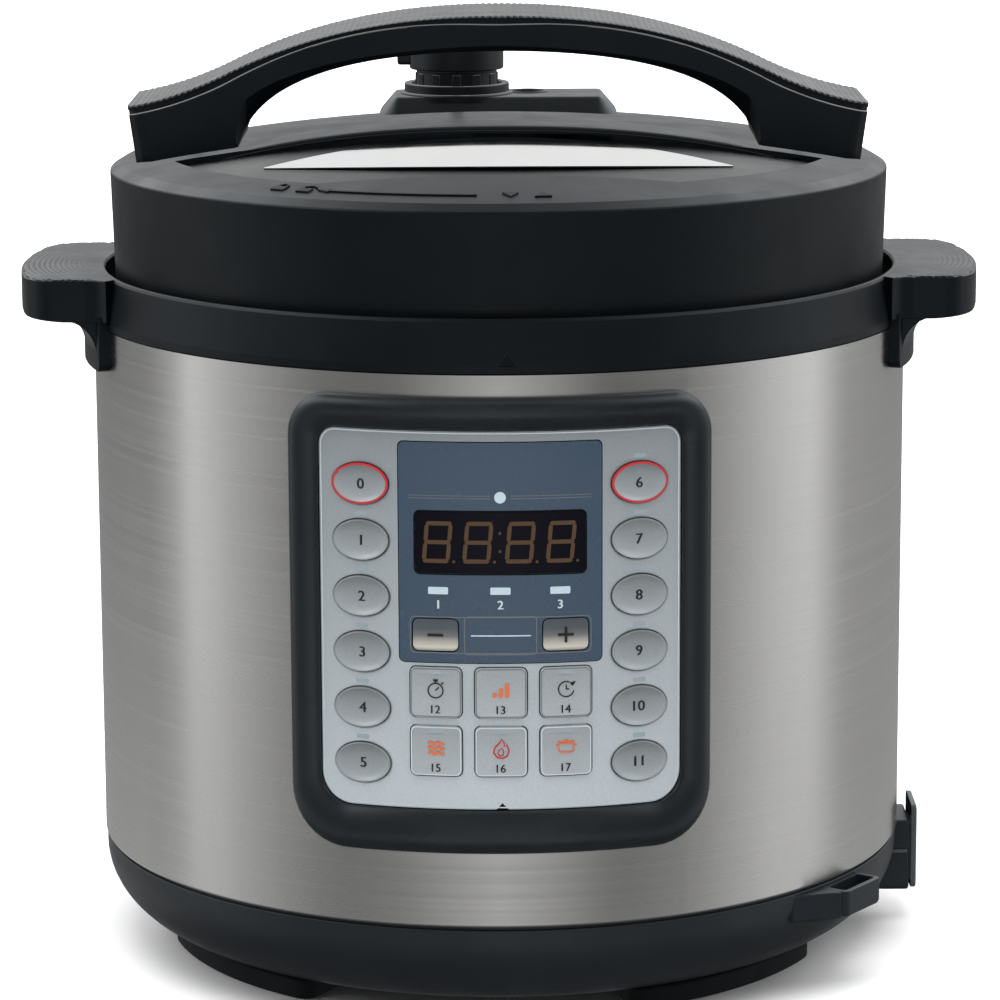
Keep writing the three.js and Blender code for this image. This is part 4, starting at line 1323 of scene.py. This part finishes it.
def front_outline(radius, front, back):
    """Seen from above: the lid in front of the bridge, out to a radius and a straight front edge."""
    start = math.asin(back / radius)
    flat = math.asin(front / radius)
    points = []
    for a, b, steps in ((math.pi - start, math.pi - flat, 16), (TAU + flat, TAU + start, 16)):
        points += [(radius * math.cos(a + (b - a) * k / steps), radius * math.sin(a + (b - a) * k / steps))
                   for k in range(steps + 1)]
    return filleted([(x, y, 3 if i in (16, 17) else 0) for i, (x, y) in enumerate(points)], closed=True)


BRIDGE_HALF = 104


def bridge_top(x):
    """The height of the bridge, which crosses the lid under the handle."""
    return 292.4 - 11.9 * (abs(x) / BRIDGE_HALF) ** 2.3


def make_lid_cover():
    """The domed lid, its recess and its bridge."""
    radii = [131.8, 130, 127, 124, 121, 118, 115, 110, 104, 96, 88, 80, 70, 60, 50, 40, 30, 20, 10, 0]
    profile = [(0, dome(0) - 2.5), (60, dome(60) - 2.5), (105, dome(105) - 2.5), (129, dome(129) - 2.5, 2),
               (133.6, 274, 2),
               (132.4, 232.3, 0.6), (135, 232.3, 0.8), (136.3, 275.4, 1.2), (132.2, 277.85, 1.0)]
    profile += [(r, dome(r)) for r in radii[1:]]
    shell = turned(profile, 216, closed=False)
    outline = front_outline(117, -101, -36)
    recess = [[(x, y, 320) for x, y in outline]]
    for share in [1 - k / 14 for k in range(14)]:
        ring = [(x * share, (y + 60) * share - 60) for x, y in outline]
        recess.append([(x, y, dome(math.hypot(x, y)) - RECESS_DEPTH) for x, y in ring])
    bores = [bore(place, radius, 240, 310, 40) for place, radius in ((KNOB_AT, 7), (FLOAT_AT, 4.4))]
    cover = carved(shell, [lofted(recess)] + bores)
    stations = 48
    loops = []
    for i in range(stations + 1):
        x = BRIDGE_HALF * (2 * i / stations - 1)
        top = bridge_top(x) - 0.5 * max(0.0, abs(x) - 102.6)
        section = [(-36, 281), (-36, top - 1.6), (-35.9, top - 0.9), (-35.4, top - 0.35), (-34.6, top - 0.05),
                   (-30, top), (-20, top), (-11.4, top - 0.1), (-10.4, top - 0.5), (-10, top - 1.2),
                   (-10, 281)]
        loops.append([(x, y, z) for y, z in section])
    posts = [bore((x, 0), 5, 262.7, 281, 32) for x in (-SCREW_X, SCREW_X)]
    piece("lid_cover_shaped", *together(cover, lofted(loops), *posts), "lid", "lid_plastic", ["lid_cover"],
          sharp=28)
    # A thin real bead along the bridge's front edge, in a lighter plastic than the lid: a painted highlight
    # on that edge.
    lip = [[(x, -36.1, bridge_top(x) - 1.75), (x, -36.24, bridge_top(x) - 1.6),
            (x, -36.1, bridge_top(x) - 1.4)]
           for x in [-96 + 192 * i / 40 for i in range(41)]]
    piece("bridge_edge_highlight", *lofted(lip), "lid", "dark_plastic")


def make_accent():
    """The polished lens in front of the bridge, on the dark tray that fills the recess."""
    def flat(x, y):
        return dome(x) - 3.75 + 0.082 * (y + 55)

    def sheet(reach, front, rear, across, deep, lifts, height=flat):
        vertices, faces = [], []
        for lift in lifts:
            for i in range(across + 1):
                x = -reach + 2 * reach * i / across
                near, back = front(x), rear(x)
                for j in range(deep + 1):
                    y = near + (back - near) * j / deep
                    vertices.append((x, y, height(x, y) + lift))
        row, count = deep + 1, (across + 1) * (deep + 1)
        for i in range(across):
            for j in range(deep):
                a = i * row + j
                faces.append((a, a + 1, a + row + 1, a + row))
                faces.append((count + a, count + a + row, count + a + row + 1, count + a + 1))
            for a in (i * row, i * row + deep):
                faces.append((a, a + row, count + a + row, count + a))
        for j in range(deep):
            for i in (0, across):
                a = i * row + j
                faces.append((a, a + 1, count + a + 1, count + a))
        return vertices, faces

    edge = math.sqrt(116.4 ** 2 - 36.4 ** 2)
    tray_part = sheet(edge, lambda x: max(-100.4, -math.sqrt(max(36.4 ** 2, 116.4 ** 2 - x * x))),
                      lambda x: -36.4, 120, 26, (0.3, -0.2), lambda x,
                      y: dome(math.hypot(x, y)) - RECESS_DEPTH)
    piece("lid_accent_tray", *tray_part, "lid", "gloss_black", ["lid_accent"], sharp=40, weighted=False)
    lens = sheet(79, lambda x: -87.5 + 22 * (x / 79) ** 2, lambda x: -37 - 27.5 * (x / 79) ** 2, 120, 20,
                 (0, -0.4))
    piece("lid_accent_shaped", *lens, "lid", "polished_steel", ["lid_accent"], sharp=40, weighted=False)


def curve_point(points, t):
    """A point on a Bezier curve with two, three or four control points."""
    while len(points) > 1:
        points = [(a[0] + (b[0] - a[0]) * t, a[1] + (b[1] - a[1]) * t) for a, b in zip(points, points[1:])]
    return points[0]


def handle_top():
    """Points along the top of the handle's left half, close together."""
    line = [curve_point([(-128, 299), (-112, 301.4), (-94.5, 309.8)], k / 60) for k in range(61)]
    line += [curve_point([(-94.5, 309.8), (-66, 324), (-34, 329.6), (0, 329.6)], k / 160)
             for k in range(1, 161)]
    return line


def handle_under(x):
    """The point under the handle that belongs to a point of its top at x, on the left half."""
    if x < -101:
        t = (x + 128) / 27
        return (-125.4 + 33.4 * t, 277.8 + 5.3 * t)
    if x < -97:
        t = (x + 101) / 4
        return (-92 + 2 * t, 283.1 + 0.9 * t)
    return curve_point([(-90, 284), (-82, 317), (0, 317)], (x + 97) / 97)


def make_handle():
    """The arched handle: a loft of cross-sections at even steps along its top, with fine ribs."""
    top = handle_top()
    lengths = [0.0]
    for a, b in zip(top, top[1:]):
        lengths.append(lengths[-1] + math.hypot(b[0] - a[0], b[1] - a[1]))
    count = 260
    half_stations = []
    index = 0
    for i in range(count + 1):
        target = lengths[-1] * i / count
        while index < len(top) - 2 and lengths[index + 1] < target:
            index += 1
        t = (target - lengths[index]) / (lengths[index + 1] - lengths[index])
        x = top[index][0] + (top[index + 1][0] - top[index][0]) * t
        z = top[index][1] + (top[index + 1][1] - top[index][1]) * t
        half_stations.append((target, x, z))
    stations = [(s, x, z, handle_under(x)) for s, x, z in half_stations]
    stations += [(2 * lengths[-1] - s, -x, z, (-handle_under(x)[0], handle_under(x)[1]))
                 for s, x, z in reversed(half_stations[:-1])]
    loops = []
    total = 2 * lengths[-1]
    for s, x, z, (bx, bz) in stations:
        rib = 0.30 * (0.5 - 0.5 * math.cos(TAU * s / 2.2))
        length = math.hypot(x - bx, z - bz)
        dx, dz = (x - bx) / length, (z - bz) / length
        share = min(1.0, abs(bx) / 95)
        foot = min(1.0, max(0.0, (abs(x) - 86) / 13))
        chamfer = (2.4 + 3.4 * share ** 3) * (1 - foot) + 0.6 * foot
        tall = (2.0 + 10.5 * share ** 3) * (1 - foot) + 0.6 * foot
        near_end = min(s, total - s)
        loop = []
        profile = [
            (27.5 - chamfer, 0.0), (27.5, tall), (27.5, length - 3.9), (27.3, length - 3.5),
            (24.9, length - 3.3),
            (24.9, length - 1.9), (27.3, length - 1.8), (27.5, length - 0.7 - rib),
            (27.1, length - 0.2 - rib), (26.3, length - rib), (14, length - rib),
        ]
        for half, v in profile:
            edge = max(0.0, (4.6 - 3.0 * v / length) - near_end)
            loop.append((bx + dx * v, -(half - edge), bz + dz * v))
        mirrored = [(px, -py, pz) for px, py, pz in reversed(loop)]
        loops.append(loop + mirrored)
    handle = piece("lid_handle_shaped", *lofted(loops), "lid", "black_plastic", ["lid_handle"], sharp=24)
    handle.visible_glossy = False  # so the polished lens below it shows a clean reflection
    handle.data.materials.append(PAINT["grip"])
    for face in handle.data.polygons:
        if face.normal.z > 0.6:
            face.material_index = 1


def make_lid_marks():
    """Raised marks on the front of the lid: two padlocks, a long arrow and two triangles."""
    def on_ring(outline):
        loops = []
        for lift, inset in ((-0.1, 0), (0.5, 0), (0.58, 0.08)):
            loop = []
            for u, v in shrunk(outline, inset):
                r = 124.5 - v
                a = u / 124.5
                loop.append((r * math.sin(a), -r * math.cos(a), dome(r) + lift))
            loops.append(loop)
        return lofted(loops)

    outlines = stroke([(-58 + 51 * k / 17, 0) for k in range(18)],
                      1.1) + [[(-57, 1.5), (-57, -1.5), (-61.5, 0)],
                [(1.2, 2.0), (6.6, 2.0), (3.9, -2.0)], [(11.5, -2.0), (17.1, -2.0), (14.3, 2.4)]]
    for u, spread in ((-76, 0), (-66, 1.4)):
        outlines.append([(u - 2.4, -2.6), (u + 2.4, -2.6), (u + 2.4, 0.6), (u - 2.4, 0.6)])
        outlines += stroke([(u - 1.6, 0.6), (u - 1.6, 2.2), (u - 0.8 + spread, 3.2), (u + 0.8 + spread, 3.2),
                            (u + 1.6 + spread, 2.2), (u + 1.6 + spread, 0.9 + spread * 0.6)], 0.7)
    parts = [on_ring(outline) for outline in outlines]
    piece("lid_marks", *together(*parts), "lid", "mark", weighted=False)


def about_knob(angle):
    """The matrix that puts a part drawn at the origin at the knob, turned by the angle."""
    return Matrix.Translation((*KNOB_AT, 0)) @ Matrix.Rotation(angle, 4, "Z")


def make_valve():
    """The block behind the handle, its knob and the float pin."""
    outline = box_points(43.4, 21, 8, 16, 8, 8)
    levels = ((0, 279.5), (0, 287.0), (0.3, 288.0), (0.9, 289.0), (5.2, 294.0), (5.8, 294.7), (6.6, 295))
    block = lofted([[(x, y + 51.5, z) for x, y in shrunk(outline, inset)] for inset, z in levels])
    holes = [bore(place, radius, 270, 305, 56) for place, radius in ((KNOB_AT, 7), (FLOAT_AT, 5.9))]
    ring = turned([(0, 293), (19.4, 293), (19.4, 295.2), (19, 296, 0.4), (19, 299, 0.5), (16.6, 299, 0.5),
                   (16.6, 296.5), (0, 296.5)], 72, closed=False, centre=KNOB_AT)
    lip = turned([(19.2, 295.0), (20.6, 295.0, 0.3), (20.2, 295.8, 0.4), (19.2, 296)], 72, centre=KNOB_AT)
    block = carved(block, holes)
    ring = carved(ring, holes)
    rim = turned([(6.9, 294.9), (7.6, 294.9, 0.2), (7.3, 295.5, 0.2), (6.2, 295.5, 0.2), (5.95, 294.9)], 48,
                 centre=FLOAT_AT)
    shaped = [piece("valve_block_shaped", *together(block, ring, lip, rim), "lid", "dark_plastic",
                    ["valve_block"], sharp=30)]
    knob = [(0, 322), (13, 322, 2), (15.5, 321.7, 1.2), (17.1, 320.2, 1.2), (17.1, 304.4, 0.5),
            (16.7, 304, 0.3), (14.6, 303.5, 0.4), (14.6, 297, 0.4), (6, 297), (6, 313), (0, 313)]
    body = turned(knob, 96, closed=False, centre=KNOB_AT)
    tab_loops = []
    for x, shrink in ((-14, 0), (-20.6, 0), (-21.2, 0.3), (-21.5, 0.9)):
        tab_loops.append([(KNOB_AT[0] + x, KNOB_AT[1] + a, 311.2 + b) for a, b in
                          box_points(4.5 - shrink, 5.7 - shrink, 1.2, 3, 3, 5)])
    tooth = shifted(slab(box_points(0.5, 1.5, 0.3, 1, 2, 3), 298, 302.6, 0.2), x=14.5)
    teeth = [moved(tooth, about_knob(TAU * k / 12)) for k in range(12)]
    shaped.append(piece("steam_knob_shaped", *together(body, lofted(tab_loops), *teeth), "knob",
                        "dark_plastic", ["steam_knob"], sharp=32))
    pin = [(0, 251.4), (2.6, 251.4, 0.4), (2.6, 264.4), (4.1, 264.4, 0.3), (4.1, 267, 0.4), (3.4, 268, 0.3),
           (3.4, 292.6, 0.6), (2.6, 293.4, 0.4), (0, 293.4)]
    piece("float_pin_shaped", *turned(pin, 40, closed=False, centre=FLOAT_AT), "float", "polished_steel",
          ["float_pin"])
    for made in shaped:  # the polished plate in front of the handle shows a clean reflection
        made.visible_glossy = False


def make_under_lid():
    """The steel lid, sealing ring, rack and anti-block shield."""
    disc = [
        (0, 263.5), (60, 263.0), (100, 262.3, 20), (122, 259, 6), (129.5, 250, 6), (129.5, 232.8, 0.5),
        (128, 232.8, 0.5), (128, 249.4, 5), (121.2, 257.6, 5), (99.8, 260.8, 20), (60, 261.5), (0, 262),
    ]
    teeth = [slab(ring_sector(121, 128.7, 60 * i, 24, 2), 233, 235.2, 0.6) for i in range(6)]
    holes = [bore(place, radius, 240, 280, 40)
             for place, radius in ((KNOB_AT, 6), (FLOAT_AT, 3.6), ((-SCREW_X, 0), 2.5), ((SCREW_X, 0), 2.5))]
    cut = carved(turned(disc, 168, closed=False), holes)
    piece("pressure_lid_shaped", *together(cut, *teeth), "lid", "lid_steel", ["pressure_lid"], sharp=30)
    ring = [(107, 243.4, 1.4), (119.5, 243.4, 1.2), (120, 253, 1), (118.6, 254, 0.8), (113, 254),
            (112, 252.6, 0.8),
            (111, 254), (107, 254, 1.2), (106, 253, 0.8), (106, 249.5), (107, 248.5, 0.6), (106, 247.5)]
    piece("sealing_ring_shaped", *turned(ring, 168), "seal", "silicone", ["sealing_ring"])
    wire = [(104 + 1.2 * math.cos(TAU * k / 14), 249 + 1.2 * math.sin(TAU * k / 14)) for k in range(14)]
    piece("ring_rack_shaped", *turned(wire, 168), "lid", "polished_steel", ["ring_rack"])
    cap = turned([(0, 243.5), (10, 243.5, 1), (12, 245.5, 1), (12, 261, 0.4), (10.8, 261, 0.4),
                  (10.8, 246, 0.6), (9.6, 244.7, 0.6), (0, 244.7)], 72, closed=False, centre=KNOB_AT)
    slot = slab(box_points(20, 2.4, 1, 4, 2, 4), 248, 256, 0.4)
    slots = [moved(slot, about_knob(math.radians(60 * k))) for k in range(3)]
    piece("anti_block_shield_shaped", *carved(cap, slots), "lid", "polished_steel", ["anti_block_shield"],
          sharp=30)


# ---- Everything that keeps its CAD shape ----

KEPT = {
    "bottom_screw": "aluminium", "power_board": "circuit_board", "pressure_switch": "dark_plastic",
    "sensor_spring": "polished_steel", "control_board": "circuit_board",
    "handle_screw_left": "polished_steel",
    "handle_screw_right": "polished_steel", "exhaust_pipe": "polished_steel", "float_seal": "silicone",
}


def finish_kept():
    """Gives the CAD pieces that keep their shape a material and a fine bevel."""
    for name, paint in KEPT.items():
        node = frame["nodes"][name]
        node.data.materials.clear()
        node.data.materials.append(PAINT[paint])
        edge = node.modifiers.new("edge", "BEVEL")
        edge.width = 0.15 * MM
        edge.segments = 2
        edge.angle_limit = math.radians(50)


# ---- Studio ----

# Brightness of the studio by direction, in degrees round from behind on the left to behind on the right.
UPPER_BAND = (
    (-180, 0.20), (-115, 0.17), (-103, 0.40), (-96, 0.90), (-80, 0.45), (-55, 0.08), (-28, 0.08),
    (0, 0.55), (28, 0.08), (52, 0.08), (80, 0.60), (97, 0.90), (112, 0.35), (180, 0.20),
)
LOWER_BAND = (
    (-180, 0.30), (-125, 0.50), (-100, 0.37), (-88, 0.55), (-45, 0.33),
    (0, 0.70), (35, 0.34), (85, 0.63), (105, 0.42), (180, 0.30),
)
RISING_BAND = (
    (-180, 0.76), (-150, 0.80), (-135, 0.74), (-118, 0.5), (-108, 0.68), (-98, 0.92), (-84, 0.66), (-66, 0.3),
    (-52, 0.10), (-30, 0.10), (-18, 0.25), (-6, 0.34), (6, 0.34), (18, 0.25), (30, 0.10), (52, 0.10),
    (66, 0.3), (84, 0.66), (98, 0.92), (108, 0.68), (118, 0.5), (135, 0.74), (150, 0.80), (180, 0.76),
)
HIGH_BAND = (
    (-180, 0.15), (-171, 1.2), (-160, 3.1), (-140, 3.0), (-110, 2.3), (-85, 2.4), (-60, 2.4), (-45, 0.9),
    (-28, 0.15),
    (0, 0.12), (28, 0.15), (45, 0.7), (60, 1.6), (85, 2.2), (110, 2.3), (140, 3.0), (160, 3.4), (171, 1.3),
    (180, 0.15),
)


BAND_GAIN = (1 / 0.87, 1 / 0.87, 1 / 0.865)


def studio_world():
    """Soft bands of light round the object, laid one over another from the floor up."""
    world = bpy.data.worlds.new("studio")
    bpy.context.scene.world = world
    world.use_nodes = True
    n = Nodes(world.node_tree)
    direction = n.add("ShaderNodeTexCoord").outputs["Generated"]
    front = n.add("ShaderNodeMath", {"operation": "MULTIPLY"},
                  **{"0": n.axis(direction, "Y"), "1": -1.0}).outputs[0]
    turn = n.add("ShaderNodeMath", {"operation": "ARCTAN2"},
                 **{"0": n.axis(direction, "X"), "1": front}).outputs[0]
    share = n.share(turn, -math.pi, math.pi)
    height = n.axis(direction, "Z")

    def band(stops):
        return n.ramp(share, [((a + 180) / 360, tuple(v * gain for gain in BAND_GAIN)) for a, v in stops])

    def over(under, low, high, light):
        return n.mix(n.share(height, low, high, "SMOOTHSTEP"), under, light)

    light = over(band(UPPER_BAND), -0.15, -0.34, band(LOWER_BAND))
    light = over(light, -0.40, -0.62, (0.10, 0.10, 0.10, 1))
    light = over(light, -0.02, 0.06, band(RISING_BAND))
    light = over(light, 0.28, 0.46, band(HIGH_BAND))
    light = over(light, 0.74, 0.90, (0.35, 0.35, 0.35, 1))
    n.tree.links.new(light, n.tree.nodes["Background"].inputs["Color"])


def make_floor():
    """A wide pale floor, just under the feet."""
    half, drop = 9.0, -0.2 * MM
    mesh = bpy.data.meshes.new("floor")
    mesh.from_pydata([(x * half, y * half, drop) for x, y in ((-1, -1), (1, -1), (1, 1), (-1, 1))], [],
                     [(0, 1, 2, 3)])
    n = Material("floor")
    mesh.materials.append(n.shade(
        Base_Color=n.ramp(n.noise(3, 3), [(0.3, (0.885, 0.885, 0.885)), (0.7, (0.90, 0.90, 0.90))]),
        Roughness=n.grey(n.noise(40, 3), 0.75, 0.85),
        Normal=n.bump(n.noise(900, 2), 0.05, 0.0002),
    ))
    floor = bpy.data.objects.new("floor", mesh)
    LINKED.link(floor)
    floor.visible_glossy = False


def soft_light(name, place, target, size, power):
    """A wide lamp that lights the object but isn't seen, neither straight on nor in a reflection."""
    lamp = bpy.data.lights.new(name, "AREA")
    lamp.shape = "RECTANGLE"
    lamp.size, lamp.size_y = size
    lamp.energy = power
    made = bpy.data.objects.new(name, lamp)
    LINKED.link(made)
    made.location = place
    made.rotation_euler = (Vector(target) - Vector(place)).to_track_quat("-Z", "Y").to_euler()
    made.visible_camera = False
    made.visible_glossy = False
    return made


CAMERA_PLACE = (0, -1.457, 0.447)
CAMERA_TILT, CAMERA_ROLL = 78.64, -0.27  # degrees
CAMERA_LENS = 149.4


def make_studio():
    """The world, floor, lamps and camera, none of which belong to the object."""
    studio_world()
    make_floor()
    soft_light("light_above", (0, -0.7, 2.1), (0, -0.1, 0.1), (1.8, 1.4), 42)
    soft_light("light_backdrop", (0, 4.2, 2.6), (0, 4.4, 0), (5.0, 4.0), 190)
    camera = bpy.data.cameras.new("camera")
    camera.lens = CAMERA_LENS
    camera.sensor_width = 36
    camera.clip_end = 60
    made = bpy.data.objects.new("camera", camera)
    LINKED.link(made)
    turn = (Matrix.Rotation(math.radians(CAMERA_TILT), 4, "X")
            @ Matrix.Rotation(math.radians(CAMERA_ROLL), 4, "Z"))
    made.matrix_world = Matrix.Translation(CAMERA_PLACE) @ turn
    bpy.context.scene.camera = made
    bpy.context.scene.view_settings.view_transform = "Standard"


make_base()
make_feet()
make_accessory_pocket()
make_inlet()
make_bottom()
make_shell()
make_collar()
make_inside()
make_cup()
make_bezel()
make_fascia()
make_window()
make_display()
make_keys()
make_lid_cover()
make_accent()
make_handle()
make_lid_marks()
make_valve()
make_under_lid()
finish_kept()
make_studio()
